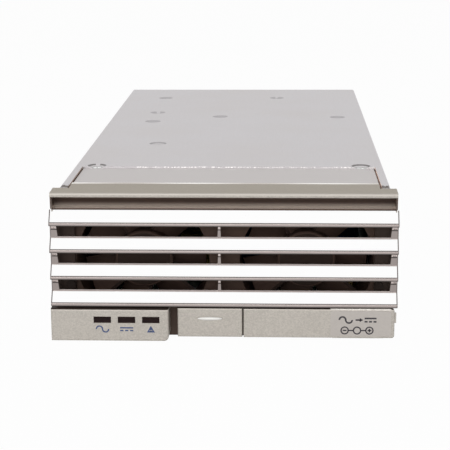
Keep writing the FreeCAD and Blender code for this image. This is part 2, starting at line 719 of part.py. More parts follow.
def make_rear_panel():
    body = new_body("rear")
    inner = tray_inner
    plate = tray_rear - s.sheet_wall
    flange = tray_rear - s.rear_flange
    web = inner - s.sheet_wall
    plan = [(-inner, tray_rear), (-inner, flange), (-web, flange), (-web, plate),
            (web, plate), (web, flange), (inner, flange), (inner, tray_rear)]
    pad(body, "XY", fold_top, cover_under, plan)
    opening = rect(-s.plug_half - s.plug_gap, s.plug_half + s.plug_gap,
                   fold_top + s.plug_gap, board_top + s.plug_height + s.plug_gap)
    pocket(body, "XZ", plate, tray_rear, opening)
    vent_half = s.vent_width / 2
    slot = rect(-vent_first - vent_half, -vent_first + vent_half, s.vent_low, cover_under - s.vent_drop)
    first = pocket(body, "XZ", plate, tray_rear, slot)
    row_of(body, first, "X", vent_first * 2 / (VENT_COUNT - 1), VENT_COUNT)
    screw_y = tray_rear - s.rear_screw_inset
    holes = [disc(screw_y, z, s.shank_radius) for z in (s.rear_screw_low, s.rear_screw_high)]
    pocket(body, "YZ", -inner, inner, *holes)
    finish("rear_panel", body)

    screws = []
    for axis, side in (("-X", 1), ("X", -1)):
        for z in (s.rear_screw_low, s.rear_screw_high):
            head = cylinder("rear_screw_head", axis, side * (tray_half + s.rear_screw_head), screw_y, z,
                            s.head_radius, s.rear_screw_head)
            shank = cylinder("rear_screw_shank", axis, side * tray_half, screw_y, z,
                             s.shank_radius, s.shank_length)
            screws.append(fuse("rear_screw", [head, shank]))
    finish("rear_screws", group("rear_screw_set", screws))


def make_bezel():
    body = new_body("bezel")
    half = lip_half
    back = tray_front
    recess_back = front + s.recess_back
    sill_front = front + s.recess_front
    slope_foot = recess_back - s.recess_slope
    slope_top = recess_sill + s.recess_rise
    nose = front + s.nose_set
    lip_back = front + s.lip_depth
    visor = [(nose, lip_under), (nose, nose_top), (lip_back, lip_top), (lip_back, tongue_top),
             (back, tongue_top), (back, window_top), (sill_front, window_top),
             (sill_front, recess_sill), (slope_foot, recess_sill), (recess_back, slope_top),
             (recess_back, lip_under)]
    pad(body, "YZ", -half, half, visor)
    round_edges(body, s.nose_radius, [along("X", nose, lip_under), along("X", nose, nose_top)])
    round_edges(body, s.recess_radius, [along("X", slope_foot, recess_sill),
                                        along("X", recess_back, slope_top)])
    cheek_front = nose + s.nose_radius
    cheek = [(cheek_front, lip_under), (cheek_front + s.cheek_wall, recess_sill),
             (recess_back, recess_sill), (recess_back, lip_under)]
    pad(body, "YZ", -half, -half + s.cheek_wall, cheek)
    pad(body, "YZ", half - s.cheek_wall, half, cheek)
    corner_back = front + s.corner_set
    for low, high in ((-half, -flange_half), (flange_half, half)):
        pocket(body, "XY", s.case_height - s.corner_drop, lip_top, rect(low, high, corner_back, lip_back))

    shelf_top = s.shelf_low + s.shelf_wall
    frame = rect(-half, half, s.shelf_low, window_top)
    window = rect(-window_half, window_half, shelf_top, window_top - s.head_wall)
    pad(body, "XZ", recess_back, back, frame, window)
    pad(body, "XY", s.shelf_low, shelf_top, rect(-half, half, front + s.row_depth, back))
    wall_plan = rect(-half, row_wall_right, front + s.row_depth, row_wall_back)
    pad(body, "XY", s.row_wall_low, s.shelf_low, wall_plan)
    boss_right = -s.latch_left + latch_centre_offset() - s.stem_width / 2 - s.keeper_side - s.spring_length
    boss = rect(boss_right - s.boss_wall, boss_right, s.stem_low, s.stem_low + s.stem_height)
    pad(body, "XZ", row_wall_back, row_wall_back + s.boss_depth, boss)

    stem_left, stem_right = stem_ends()
    slot = rect(stem_left - s.latch_travel - s.slide_gap, stem_right + s.slide_gap,
                s.stem_low - s.slide_gap, s.stem_low + s.stem_height + s.slide_gap)
    pocket(body, "XZ", front + s.row_depth, row_wall_back, slot)
    holes = [disc(side * bezel_screw_x, z, s.tap_radius)
             for side in (-1, 1) for z in (s.bezel_screw_low, bezel_screw_high)]
    pocket(body, "XZ", recess_back, back, *holes)
    pocket(body, "XZ", front + s.row_depth, row_wall_back, *bracket_holes())
    finish("front_bezel", body)

    screws = []
    for side in (-1, 1):
        for z in (s.bezel_screw_low, bezel_screw_high):
            head = cylinder("bezel_screw_head", "Y", side * bezel_screw_x, recess_back - s.tap_head_height, z,
                            s.tap_head, s.tap_head_height)
            shank = cylinder("bezel_screw_shank", "Y", side * bezel_screw_x, recess_back, z,
                             s.tap_radius, bracket_back - recess_back)
            screws.append(fuse("bezel_screw", [head, shank]))
    finish("bezel_screws", group("bezel_screw_set", screws))


def latch_centre_offset():
    """From the latch's left end to the middle of the latch."""
    return (s.latch_left + s.latch_right) / 2


def stem_ends():
    middle = -s.latch_left + latch_centre_offset()
    return middle - s.stem_width / 2, middle + s.stem_width / 2


def bracket_holes():
    """Screw holes shared by the hinge bracket and the wall behind it."""
    z = (s.bracket_low + s.bracket_top) / 2
    inset = s.tap_head * 2
    return [disc(bracket_left + inset, z, s.tap_radius), disc(bracket_right - inset, z, s.tap_radius)]


def make_grille():
    body = new_body("grille")
    half = slat_half
    back = front + s.recess_back
    face = front + s.rib_front
    spine = front + s.row_depth
    shelf_top = s.shelf_low + s.shelf_wall
    slat_foot = s.slat_low - s.slat_lip
    low_slot = s.slat_low + s.slat_rise - s.slat_wall
    high_slot = s.slat_low + slat_pitch - s.slat_lip + s.slat_wall
    top = window_top - s.head_wall
    middle = -s.rib_offset
    middle_rib = [(middle - s.rib_foot / 2, low_slot), (middle + s.rib_foot / 2, low_slot),
                  (middle + s.rib_top / 2, high_slot), (middle - s.rib_top / 2, high_slot)]
    left_rib = [(-half, low_slot), (-half + s.end_rib_foot, low_slot),
                (-half + s.end_rib_top, high_slot), (-half, high_slot)]
    right_rib = [(half - s.end_rib_foot, low_slot), (half, low_slot),
                 (half, high_slot), (half - s.end_rib_top, high_slot)]
    rib = pad(body, "XZ", face, spine, middle_rib, left_rib, right_rib)
    row_of(body, rib, "Z", slat_pitch, SLAT_COUNT - 1)
    spines = [rect(middle - s.rib_top / 2, middle + s.rib_top / 2, shelf_top, top),
              rect(-half, -half + s.end_rib_top, shelf_top, top),
              rect(half - s.end_rib_top, half, shelf_top, top)]
    pad(body, "XZ", front + s.slat_run + s.slat_wall / 2, back, *spines)
    ridge = (front + s.slat_run, s.slat_low + s.slat_rise)
    slat = [(front, s.slat_low), ridge, (ridge[0] + s.bead_run, ridge[1] + s.bead_rise),
            (ridge[0] + s.slat_wall, ridge[1] - s.slat_wall), (front + s.slat_wall, slat_foot),
            (front, slat_foot)]
    bar = pad(body, "YZ", -half, half, slat)
    row_of(body, bar, "Z", slat_pitch, SLAT_COUNT)
    levels = [s.slat_low + slat_pitch * number for number in range(SLAT_COUNT)]
    round_edges(body, s.slat_edge_radius, [along("X", front, level) for level in levels])

    ridge_y, ridge_z = front + s.slat_run, levels[-1] + s.slat_rise
    crest_y, crest_z = ridge_y + s.top_run, ridge_z + s.top_rise
    crest = [(ridge_y, ridge_z), (crest_y, crest_z), (crest_y + s.slat_wall, crest_z - s.slat_wall),
             (ridge_y + s.slat_wall, ridge_z - s.slat_wall)]
    pad(body, "YZ", -half, half, crest)
    snap_top = s.slat_low + slat_pitch - s.slat_lip - s.snap_drop
    snap_end = half - s.snap_inset
    snaps = [rect(low, low + s.snap_width, snap_top - s.snap_height, snap_top)
             for low in (-snap_end, snap_end - s.snap_width)]
    snap = pocket(body, "XZ", face, face + s.snap_depth, *snaps)
    row_of(body, snap, "Z", slat_pitch, SLAT_COUNT - 1)
    finish("louvre_grille", body)


def make_indicator_panel():
    body = new_body("panel")
    face = front - s.panel_proud
    inside = face + s.panel_wall
    back = front + s.row_depth
    left, right = -slat_half, -s.panel_right
    top = s.row_top - s.panel_step
    pad(body, "XZ", face, back, rect(left, right, s.panel_low, top))
    round_edges(body, s.panel_corner, [along("Y", right, s.panel_low)])
    doc.recompute()
    round_edges(body, s.panel_edge, [front_edge(face)])
    hollow = rect(left + s.panel_rim, right - s.panel_rim, s.panel_low + s.panel_rim, top - s.panel_rim)
    pocket(body, "XZ", inside, back, hollow)
    window = rect(-lens_first, -lens_first + s.lens_width, s.lens_low, s.lens_low + s.lens_height)
    first = pocket(body, "XZ", face, inside, window)
    row_of(body, first, "X", s.lens_pitch, len(LENS_NAMES))
    finish("indicator_panel", body)


def front_edge(level):
    """Test for edges that lie in one plane across the depth."""
    goal = as_size(level).value

    def test(edge):
        return abs(edge.BoundBox.YMin - goal) < 1e-4 and abs(edge.BoundBox.YMax - goal) < 1e-4

    return test


def make_indicators():
    face = front - s.panel_proud - s.lens_proud
    inside = front - s.panel_proud + s.panel_wall
    flange_back = inside + s.lens_flange_wall
    lamps = []
    lamp_back = front + s.row_depth - s.card_wall
    for number, name in enumerate(LENS_NAMES):
        left = -lens_first + s.lens_pitch * number
        right = left + s.lens_width
        low, high = s.lens_low, s.lens_low + s.lens_height
        body = new_body(name + "_body")
        window = rect(left + s.lens_play, right - s.lens_play, low + s.lens_play, high - s.lens_play)
        pad(body, "XZ", face, inside, window)
        wide = rect(left - s.lens_flange, right + s.lens_flange, low - s.lens_flange, high + s.lens_flange)
        pad(body, "XZ", inside, flange_back, wide)
        pad(body, "XZ", flange_back, flange_back + s.lens_pipe, window)
        finish(name, body)
        middle, rise = (left + right) / 2, (low + high) / 2
        lamps.append(box("lamp", middle - s.lamp_width / 2, middle + s.lamp_width / 2,
                         lamp_back - s.lamp_depth, lamp_back,
                         rise - s.lamp_height / 2, rise + s.lamp_height / 2))
    finish("indicator_leds", group("lamp_set", lamps))
    middle = -lens_first + s.lens_pitch + s.lens_width / 2
    rise = s.lens_low + s.lens_height / 2
    card = box("lamp_card", middle - s.lamp_card_width / 2, middle + s.lamp_card_width / 2,
               lamp_back, front + s.row_depth,
               rise - s.lamp_card_height / 2 - s.lens_height / 2, rise + s.lens_height)
    finish("indicator_board", card)


def make_latch():
    body = new_body("latch")
    face = front + s.latch_set
    inside = face + s.latch_wall
    back = front + s.row_depth - s.slide_gap
    left, right = -s.latch_left, s.latch_right
    pad(body, "XZ", face, back, rect(left, right, s.row_low, s.row_top))
    round_edges(body, s.latch_edge, [front_edge(face)])
    hollow = rect(left + s.latch_rim, right - s.latch_rim, s.row_low + s.latch_rim, s.row_top - s.latch_rim)
    pocket(body, "XZ", inside, back, hollow)
    stem_left, stem_right = stem_ends()
    stem_back = row_wall_back + s.slide_gap
    pad(body, "XZ", inside, stem_back, rect(stem_left, stem_right, s.stem_low, s.stem_low + s.stem_height))
    thumb = doc.addObject("Part::Ellipsoid", "thumb_rib")
    thumb.Angle1 = -90
    bind(thumb, Radius1=s.thumb_height / 2, Radius2=s.thumb_half, Radius3=s.thumb_proud)
    place(thumb, (stem_left + stem_right) / 2, face, s.thumb_rise)
    finish("release_latch", fuse("latch_with_thumb", [body, thumb]))

    keeper_left, keeper_right = stem_left - s.keeper_side, stem_right + s.keeper_side
    plate = box("keeper_plate", keeper_left, keeper_right, stem_back, stem_back + s.keeper_wall,
                s.stem_low - s.keeper_rise, s.stem_low + s.stem_height + s.keeper_rise)
    tab = box("keeper_tab", keeper_left, keeper_left + s.keeper_wall, stem_back, stem_back + s.keeper_tab,
              s.stem_low, s.stem_low + s.stem_height)
    finish("latch_keeper", fuse("keeper", [plate, tab]))

    spring = new_body("spring")
    strip_front = stem_back + s.keeper_wall / 2
    step = (s.spring_length - s.spring_wall) / SPRING_FOLDS
    line = [(keeper_left - s.spring_length + step * number, strip_front + s.spring_depth * (number % 2))
            for number in range(SPRING_FOLDS + 1)]
    far_side = [(x + s.spring_wall, y) for x, y in reversed(line)]
    middle = s.stem_low + s.stem_height / 2
    pad(spring, "XY", middle - s.spring_height / 2, middle + s.spring_height / 2, line + far_side)
    finish("latch_spring", spring)


def make_lever():
    body = new_body("lever")
    inside = front + s.lever_wall
    left, right = s.lever_left, lever_right
    flange_back = front + s.lever_flange
    pivot_y = front + s.pivot_depth
    pad(body, "XZ", front, inside, rect(left, right, s.row_low, s.row_top))
    round_edges(body, s.lever_corner, [along("Y", right, s.row_low), along("Y", right, s.row_top)])
    round_edges(body, s.lever_edge, [front_edge(front)])
    pad(body, "XY", s.row_top - s.lever_rim, s.row_top, rect(left, lever_flange_end, inside, flange_back))
    pad(body, "XY", s.row_low, s.row_low + s.lever_rim, rect(left, lever_flange_end, inside, flange_back))
    pad(body, "XY", s.row_low, s.row_top, rect(left, left + s.lever_rim, inside, flange_back))
    ear_low = s.bracket_low + s.bracket_wall + s.ear_gap
    ear_high = s.bracket_top - s.bracket_wall - s.ear_gap
    arm = rect(arm_left, pivot_x, inside, pivot_y + s.barrel_radius - s.lever_rim)
    pad(body, "XY", ear_low, ear_high, arm)
    pad(body, "XY", ear_low, ear_high, disc(pivot_x, pivot_y, s.barrel_radius))
    pocket(body, "XY", ear_low, ear_high, disc(pivot_x, pivot_y, s.pin_radius + s.pin_play))
    pad(body, "XY", s.lug_low, s.lug_top,
        rect(right, right + s.lug_reach, front + s.lug_front, front + s.lug_back))
    finish("ejector_lever", body)
    pin = cylinder("pin", "Z", pivot_x, pivot_y, s.bracket_low, s.pin_radius, s.bracket_top - s.bracket_low)
    finish("lever_pin", pin)


def make_hinge_bracket():
    body = new_body("hinge")
    pivot_y = front + s.pivot_depth
    back = front + s.row_depth
    plate = back - s.bracket_wall
    ear = rect(bracket_left, bracket_right, front + s.ear_front, back)
    tip = rect(bracket_right - s.bracket_wall, pivot_x,
               pivot_y - s.barrel_radius, pivot_y + s.barrel_radius)
    for low, high in ((s.bracket_low, s.bracket_low + s.bracket_wall),
                      (s.bracket_top - s.bracket_wall, s.bracket_top)):
        pad(body, "XY", low, high, ear)
        pad(body, "XY", low, high, tip)
        pad(body, "XY", low, high, disc(pivot_x, pivot_y, s.barrel_radius))
        pocket(body, "XY", low, high, disc(pivot_x, pivot_y, s.pin_radius))
    pad(body, "XZ", plate, back, rect(bracket_left, bracket_right, s.bracket_low, s.bracket_top))
    pocket(body, "XZ", plate, back, *bracket_holes())
    finish("hinge_bracket", body)

    screws = []
    for x, z, radius in [hole[1:] for hole in bracket_holes()]:
        head = cylinder("hinge_screw_head", "Y", x, plate - s.bracket_wall, z, s.tap_head, s.bracket_wall)
        shank = cylinder("hinge_screw_shank", "Y", x, plate, z, radius, row_wall_back - plate)
        screws.append(fuse("hinge_screw", [head, shank]))
    finish("hinge_screws", group("hinge_screw_set", screws))


def fan_body(name, side):
    """A body whose own Z runs from the fan's face to its back."""
    body = new_body(name)
    body.Placement = FreeCAD.Placement(FreeCAD.Vector(), TURNS["Y"])
    place(body, side * fan_x, bracket_back, fan_rise)
    return body


def make_fan(side_name, side):
    body = fan_body("fan_frame_" + side_name, side)
    half = fan_size / 2
    corners = [disc(x * fan_hole_pitch, y * fan_hole_pitch, s.fan_hole) for x in (-1, 1) for y in (-1, 1)]
    pad(body, "XY", 0, s.fan_depth, rect(-half, half, -half, half), disc(0, 0, fan_bore), *corners)
    round_edges(body, s.fan_corner, [along("Z", x * half, y * half) for x in (-1, 1) for y in (-1, 1)])
    base = s.fan_depth - s.motor_wall
    pad(body, "XY", base, s.fan_depth, disc(0, 0, s.motor_radius))
    reach = fan_bore + s.strut_seat
    inner = s.motor_radius - s.motor_wall
    across = s.strut_width / 2
    for low, high in ((inner, reach), (-reach, -inner)):
        pad(body, "XY", base, s.fan_depth, rect(low, high, -across, across))
        pad(body, "XY", base, s.fan_depth, rect(-across, across, low, high))
    pocket(body, "XY", base, s.fan_depth, disc(0, 0, s.shaft_radius + s.shaft_play))
    finish("fan_frame_" + side_name, body)

    rotor = fan_body("fan_rotor_" + side_name, side)
    pad(rotor, "XY", s.hub_front, s.hub_back, disc(0, 0, s.motor_radius))

    def face_edge(edge):
        return abs(edge.BoundBox.ZMin - s.hub_front.value) < 1e-4 and edge.BoundBox.ZLength < 1e-4

    round_edges(rotor, s.hub_edge, [face_edge])

    def blade_section(rise):
        sweep, half = rise * BLADE_PITCH, s.blade_wall / 2
        low, high = s.blade_middle - rise, s.blade_middle + rise
        return [(-sweep - half, low), (-sweep + half, low), (sweep + half, high), (sweep - half, high)]

    root = outline(rotor, "YZ", s.motor_radius - s.hub_edge, [blade_section(s.blade_hub_rise)])
    tip = outline(rotor, "YZ", fan_bore - s.blade_gap - s.blade_wall, [blade_section(s.blade_tip_rise)])
    blade = rotor.newObject("PartDesign::AdditiveLoft", rotor.Name + "_blade")
    blade.Profile = root
    blade.Sections = [tip]
    blade.Ruled = True
    rotor.Tip = blade
    blades = rotor.newObject("PartDesign::PolarPattern", rotor.Name + "_blades")
    blades.Originals = [blade]
    blades.Axis = (origin_feature(rotor, "Z_Axis"), [""])
    blades.Angle = 360
    blades.Occurrences = BLADE_COUNT
    rotor.Tip = blades
    pad(rotor, "XY", s.hub_back, s.shaft_end, disc(0, 0, s.shaft_radius))
    finish("fan_rotor_" + side_name, rotor)


def make_fan_bracket():
    body = new_body("fan_bracket_body")
    inner = tray_inner
    web = inner - s.sheet_wall
    arm_end = tray_front + s.tray_arm
    plan = [(-inner, tray_front), (inner, tray_front), (inner, arm_end), (web, arm_end),
            (web, bracket_back), (-web, bracket_back), (-web, arm_end), (-inner, arm_end)]
    pad(body, "XY", fold_top, seat_level, plan)
    for side in (-1, 1):
        pocket(body, "XZ", tray_front, bracket_back, disc(side * fan_x, fan_rise, fan_bore))
    tab_front = arm_end - s.tab_length
    for low, high in ((-inner, -inner + s.tab_width), (inner - s.tab_width, inner)):
        pad(body, "XY", seat_level - s.sheet_wall, seat_level, rect(low, high, tab_front, arm_end))
    holes = [disc(side * front_screw_x, front + s.front_screw_y, s.shank_radius) for side in (-1, 1)]
    pocket(body, "XY", seat_level - s.sheet_wall, seat_level, *holes)
    taps = [disc(side * bezel_screw_x, z, s.tap_radius)
            for side in (-1, 1) for z in (s.bezel_screw_low, bezel_screw_high)]
    pocket(body, "XZ", tray_front, bracket_back, *taps)

    places = [(side * fan_x + across * fan_hole_pitch, fan_rise + up * fan_hole_pitch)
              for side in (-1, 1) for across in (-1, 1) for up in (-1, 1)]
    pocket(body, "XZ", tray_front, bracket_back, *[disc(x, z, s.fan_rivet) for x, z in places])
    finish("fan_bracket", body)
    rivets = [cylinder("rivet", "Y", x, tray_front, z, s.fan_rivet, s.sheet_wall + s.fan_depth)
              for x, z in places]
    finish("fan_rivets", group("rivet_set", rivets))


def spacer_places():
    last_bulk = s.bulk_y + s.bulk_pitch
    depths = (front + s.spacer_front, front + last_bulk + s.spacer_after, board_back - s.spacer_end)
    return [(side * spacer_x, y) for side in (-1, 1) for y in depths]


def make_boards():
    board = box("board", -board_half, board_half, front + s.board_front, board_back,
                board_low, board_top)
    holes = [cylinder("board_hole", "Z", x, y, board_low, s.shank_radius, s.card_wall)
             for x, y in spacer_places()]
    finish("main_board", cut("board_drilled", board, holes))
    inset = s.insulator_inset
    sheet_top = s.sheet_wall + s.insulator_wall
    film = box("film", -board_half + inset, board_half - inset, front + s.board_front + inset,
               board_back - inset, s.sheet_wall, sheet_top)
    gaps = [cylinder("film_hole", "Z", x, y, s.sheet_wall, s.spacer_radius + s.slide_gap, s.insulator_wall)
            for x, y in spacer_places()]
    finish("insulator_sheet", cut("film_cut", film, gaps))
    spacers, screws = [], []
    for x, y in spacer_places():
        post = doc.addObject("Part::Prism", "spacer")
        post.Polygon = 6
        bind(post, Circumradius=s.spacer_radius, Height=s.board_rise)
        place(post, x, y, s.sheet_wall)
        bore = cylinder("spacer_bore", "-Z", x, y, board_low, s.shank_radius, s.board_rise / 2)
        spacers.append(cut("spacer_drilled", post, [bore]))
        head = cylinder("board_screw_head", "Z", x, y, board_top, s.head_radius, s.head_height)
        shank = cylinder("board_screw_shank", "-Z", x, y, board_top,
                         s.shank_radius, s.card_wall + s.board_rise / 2)
        screws.append(fuse("board_screw", [head, shank]))
    finish("board_standoffs", group("spacer_set", spacers))
    finish("board_screws", group("board_screw_set", screws))


def sink_profile(across, direction):
    """Section of a bar: upright, top flange and fins to one side."""
    loops = [rect(across - s.sink_wall / 2, across + s.sink_wall / 2, board_top, seat_level)]
    loops.append(rect(across - s.sink_flange, across + s.sink_flange, seat_level - s.sink_wall, seat_level))
    for number in range(FIN_COUNT):
        low = s.sink_fin_first + s.sink_fin_pitch * number
        reach = s.sink_wall / 2 + s.sink_fin_reach
        ends = (across, across + reach) if direction > 0 else (across - reach, across)
        loops.append(rect(ends[0], ends[1], low, low + s.sink_fin))
    return loops


def make_sink(name, plane, across, direction, low, high, screws):
    body = new_body(name + "_bar")
    for loop in sink_profile(across, direction):
        pad(body, plane, low, high, loop)
    depth = s.dimple_depth + s.shank_length
    pocket(body, "XY", seat_level - depth, seat_level, *[disc(x, y, s.shank_radius) for x, y in screws])
    finish(name, body)


def make_heat_sinks():
    places = cover_screw_places()
    left_front = front + s.left_sink_front
    make_sink("heatsink_left", "XZ", -left_sink_x, -1, left_front, left_sink_back, places[2:5])
    right_front = front + s.right_sink_front
    right_back = right_front + s.right_sink_length
    make_sink("heatsink_right", "XZ", right_sink_x, 1, right_front, right_back, places[5:6])
    make_sink("heatsink_rear", "YZ", rear_sink_y, -1, s.rear_sink_x - s.rear_sink_half,
              s.rear_sink_x + s.rear_sink_half, places[6:7])


def make_transistors():
    chips = []
    low = board_top + s.chip_rise
    rows = [(-left_sink_x + s.sink_wall / 2, 1, front + s.left_sink_front),
            (right_sink_x - s.sink_wall / 2, -1, front + s.right_sink_front)]
    for face, direction, start in rows:
        for number in range(CHIP_COUNT):
            y = start + s.chip_pitch * number + s.chip_pitch / 4
            ends = (face, face + s.chip_wall) if direction > 0 else (face - s.chip_wall, face)
            case = box("chip", ends[0], ends[1], y, y + s.chip_width, low, low + s.chip_height)
            pieces = [case]
            for place_number in (-1, 0, 1):
                middle = y + s.chip_width / 2 + s.lead_pitch * place_number
                lead_x = (ends[0] + ends[1]) / 2
                pieces.append(box("lead", lead_x - s.lead_width / 2, lead_x + s.lead_width / 2,
                                  middle - s.lead_width / 2, middle + s.lead_width / 2, board_top, low))
            chips.append(fuse("transistor", pieces))
    finish("power_transistors", group("transistor_set", chips))


def make_wound_block(name, x, y, width, length, screw):
    """Upright core with a winding round its middle post and a strap up to the cover."""
    low, high = board_top, board_top + core_height
    body = new_body(name + "_core_body")
    left, right = x - width / 2, x + width / 2
    near, far = y - length / 2, y + length / 2
    pad(body, "XY", low, low + s.core_yoke, rect(left, right, near, far))
    pad(body, "XY", high - s.core_yoke, high, rect(left, right, near, far))
    pad(body, "XY", low, high, rect(left, left + s.core_leg, near, far))
    pad(body, "XY", low, high, rect(right - s.core_leg, right, near, far))
    pad(body, "XY", low, high, disc(x, y, s.core_post))
    finish(name + "_core", body)

    coil_radius = width / 2 - s.core_leg - s.winding_gap
    coil = cylinder(name + "_coil", "Z", x, y, low + s.core_yoke, coil_radius, core_height - s.core_yoke * 2)
    post = cylinder(name + "_post", "Z", x, y, low + s.core_yoke, s.core_post + s.winding_gap,
                    core_height - s.core_yoke * 2)
    finish(name + "_winding", cut(name + "_coil_cut", coil, [post]))

    strap = new_body(name + "_strap")
    outer_left, outer_right = left - s.clamp_gap - s.sheet_wall, right + s.clamp_gap + s.sheet_wall
    hoop = [(outer_left, low), (left - s.clamp_gap, low), (left - s.clamp_gap, high),
            (right + s.clamp_gap, high), (right + s.clamp_gap, low), (outer_right, low),
            (outer_right, high + s.sheet_wall), (outer_left, high + s.sheet_wall)]
    pad(strap, "XZ", y - s.clamp_width / 2, y + s.clamp_width / 2, hoop)
    pad(strap, "XY", high, seat_level, disc(x, y, s.dimple_radius))
    depth = s.dimple_depth + s.shank_length
    pocket(strap, "XY", seat_level - depth, seat_level, disc(screw[0], screw[1], s.shank_radius))
    finish(name + "_clamp", strap)


def make_wound_parts():
    places = cover_screw_places()
    make_wound_block("transformer", -transformer_x, front + s.transformer_y,
                     s.transformer_width, s.transformer_length, places[7])
    make_wound_block("boost_choke", -choke_x, front + s.choke_y, s.choke_width, s.choke_length, places[8])
    rings = [("filter_choke", -filter_x, s.filter_y), ("output_choke", s.output_ring_x, s.output_ring_y)]
    for name, x, y in rings:
        ring = cylinder(name + "_ring", "Z", x, front + y, board_top, s.ring_outer, s.ring_height)
        eye = cylinder(name + "_eye", "Z", x, front + y, board_top, s.ring_inner, s.ring_height)
        finish(name, cut(name + "_cut", ring, [eye]))


def make_capacitors():
    cans = []
    for across, along_depth in ((0, 0), (1, 0), (1, 1)):
        x = bulk_x + s.bulk_pitch * across
        y = front + s.bulk_y + s.bulk_pitch * along_depth
        can = cylinder("bulk_can", "Z", x, y, board_top, s.bulk_radius, s.bulk_height - s.bulk_edge)
        crown = cone("bulk_crown", "Z", x, y, board_top + s.bulk_height - s.bulk_edge,
                     s.bulk_radius, s.bulk_radius - s.bulk_edge, s.bulk_edge)
        cans.append(fuse("bulk_capacitor", [can, crown]))
    finish("bulk_capacitors", group("bulk_set", cans))
    small = []
    for across, along_depth in ((0, 0), (1, 0), (2, 0), (0, 1), (1, 1)):
        small.append(cylinder("output_can", "Z", -small_x + s.small_pitch * across,
                              front + s.small_y + s.small_pitch * along_depth, board_top,
                              s.small_radius, s.small_height))
    finish("output_capacitors", group("output_can_set", small))
    films = []
    for number in range(FILM_COUNT):
        y = front + s.film_y + s.film_pitch * number
        films.append(box("film_capacitor", -s.film_x, -s.film_x + s.film_width, y, y + s.film_length,
                         board_top, board_top + s.film_height))
    finish("filter_capacitors", group("film_set", films))


def make_small_parts():
    relay_front = front + s.relay_y
    finish("relay", box("relay_box", -relay_x, -relay_x + s.relay_width, relay_front,
                        relay_front + s.relay_length, board_top, board_top + s.relay_height))
    start = front + s.fuse_y
    rise = board_top + s.fuse_rise + s.fuse_radius
    tube = cylinder("fuse_tube", "Y", -fuse_x, start, rise, s.fuse_radius, s.fuse_length)
    clips = []
    for y in (start, start + s.fuse_length - s.clip_length):
        clips.append(box("fuse_clip", -fuse_x - s.fuse_radius, -fuse_x + s.fuse_radius, y, y + s.clip_length,
                         board_top, rise))
    finish("fuse", fuse("fuse_in_clips", [tube] + clips))
    control_front = front + s.control_front
    finish("control_board", box("control_card", s.control_x, s.control_x + s.card_wall, control_front,
                                control_front + s.control_length, board_top, board_top + s.control_height))


def make_rear_connector():
    body = new_body("plug")
    low, high = board_top, board_top + s.plug_height
    near, far = plug_front, plug_back
    pad(body, "XZ", near, far, rect(-s.plug_half, s.plug_half, low, high))
    first = -s.pocket_pitch * (POCKET_COUNT - 1) / 2
    half = s.pocket_pitch / 2 - s.plug_wall / 2
    cavity = rect(first - half, first + half, low + s.plug_wall, high - s.plug_wall)
    hollow = pocket(body, "XZ", far - s.plug_pocket, far, cavity)
    row_of(body, hollow, "X", s.pocket_pitch, POCKET_COUNT)
    finish("rear_connector", body)
    strips = []
    start = far - s.plug_pocket
    rest = low + s.plug_wall
    for number in range(POCKET_COUNT):
        middle = first + s.pocket_pitch * number
        for strip in range(STRIP_COUNT):
            x = middle + s.contact_pitch * (strip - (STRIP_COUNT - 1) / 2)
            strips.append(box("contact", x - s.contact_width / 2, x + s.contact_width / 2,
                              start, start + s.contact_reach, rest, rest + s.contact_wall))
    finish("rear_contacts", group("contact_set", strips))
    bars = []
    for number in range(BAR_COUNT):
        x = s.bar_x + s.bar_pitch * number
        bars.append(box("output_bar", x, x + s.bar_width, near - s.bar_length, near,
                        board_top, board_top + s.bar_wall))
    finish("output_busbars", group("bar_set", bars))


make_tray()
make_cover()
make_cover_screws()
make_rear_panel()
make_bezel()
make_grille()
make_indicator_panel()
make_indicators()
make_latch()
make_lever()
make_hinge_bracket()
make_fan_bracket()
make_fan("left", -1)
make_fan("right", 1)
make_boards()
make_heat_sinks()
make_transistors()
make_wound_parts()
make_capacitors()
make_small_parts()
make_rear_connector()
doc.recompute()

for obj in doc.Objects:
    if "Invalid" in obj.State or "Error" in obj.State:
        raise ValueError(f"{obj.Name} failed: {obj.State}")
for node, obj in nodes.items():
    if obj.Shape.isNull() or not obj.Shape.isValid() or not obj.Shape.Solids:
        raise ValueError(f"{node} has no valid solid")
os.makedirs("parts", exist_ok=True)
for node, obj in nodes.items():
    obj.Shape.exportStep(f"parts/{node}.step")
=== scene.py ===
import math

import bmesh
import bpy
from bpy.props import FloatProperty, FloatVectorProperty, PointerProperty
from mathutils import Matrix, Vector, noise


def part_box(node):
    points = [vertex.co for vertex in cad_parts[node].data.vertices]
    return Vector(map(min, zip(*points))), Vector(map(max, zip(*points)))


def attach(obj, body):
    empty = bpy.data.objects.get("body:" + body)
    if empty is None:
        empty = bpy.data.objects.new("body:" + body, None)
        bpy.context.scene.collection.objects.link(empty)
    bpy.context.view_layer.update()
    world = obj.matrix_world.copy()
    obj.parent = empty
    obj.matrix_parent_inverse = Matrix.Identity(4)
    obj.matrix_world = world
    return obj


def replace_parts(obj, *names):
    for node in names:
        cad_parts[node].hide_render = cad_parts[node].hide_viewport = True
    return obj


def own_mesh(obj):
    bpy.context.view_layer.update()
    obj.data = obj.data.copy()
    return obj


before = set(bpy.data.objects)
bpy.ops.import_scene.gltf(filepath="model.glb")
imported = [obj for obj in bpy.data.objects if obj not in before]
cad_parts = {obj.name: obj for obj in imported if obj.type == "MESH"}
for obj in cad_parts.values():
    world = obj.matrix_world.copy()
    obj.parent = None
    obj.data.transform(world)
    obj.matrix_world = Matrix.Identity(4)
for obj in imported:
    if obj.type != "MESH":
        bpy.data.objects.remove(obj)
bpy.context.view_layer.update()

bl_info = {
    "name": "Power supply module finish",
    "version": (1, 0, 0),
    "blender": (4, 5, 0),
    "location": "View3D > Sidebar > Power module",
    "description": "Finishes, screws, marks and studio for a plug-in power supply module",
    "category": "Object",
}

MM = 0.001
WELD = 1e-6

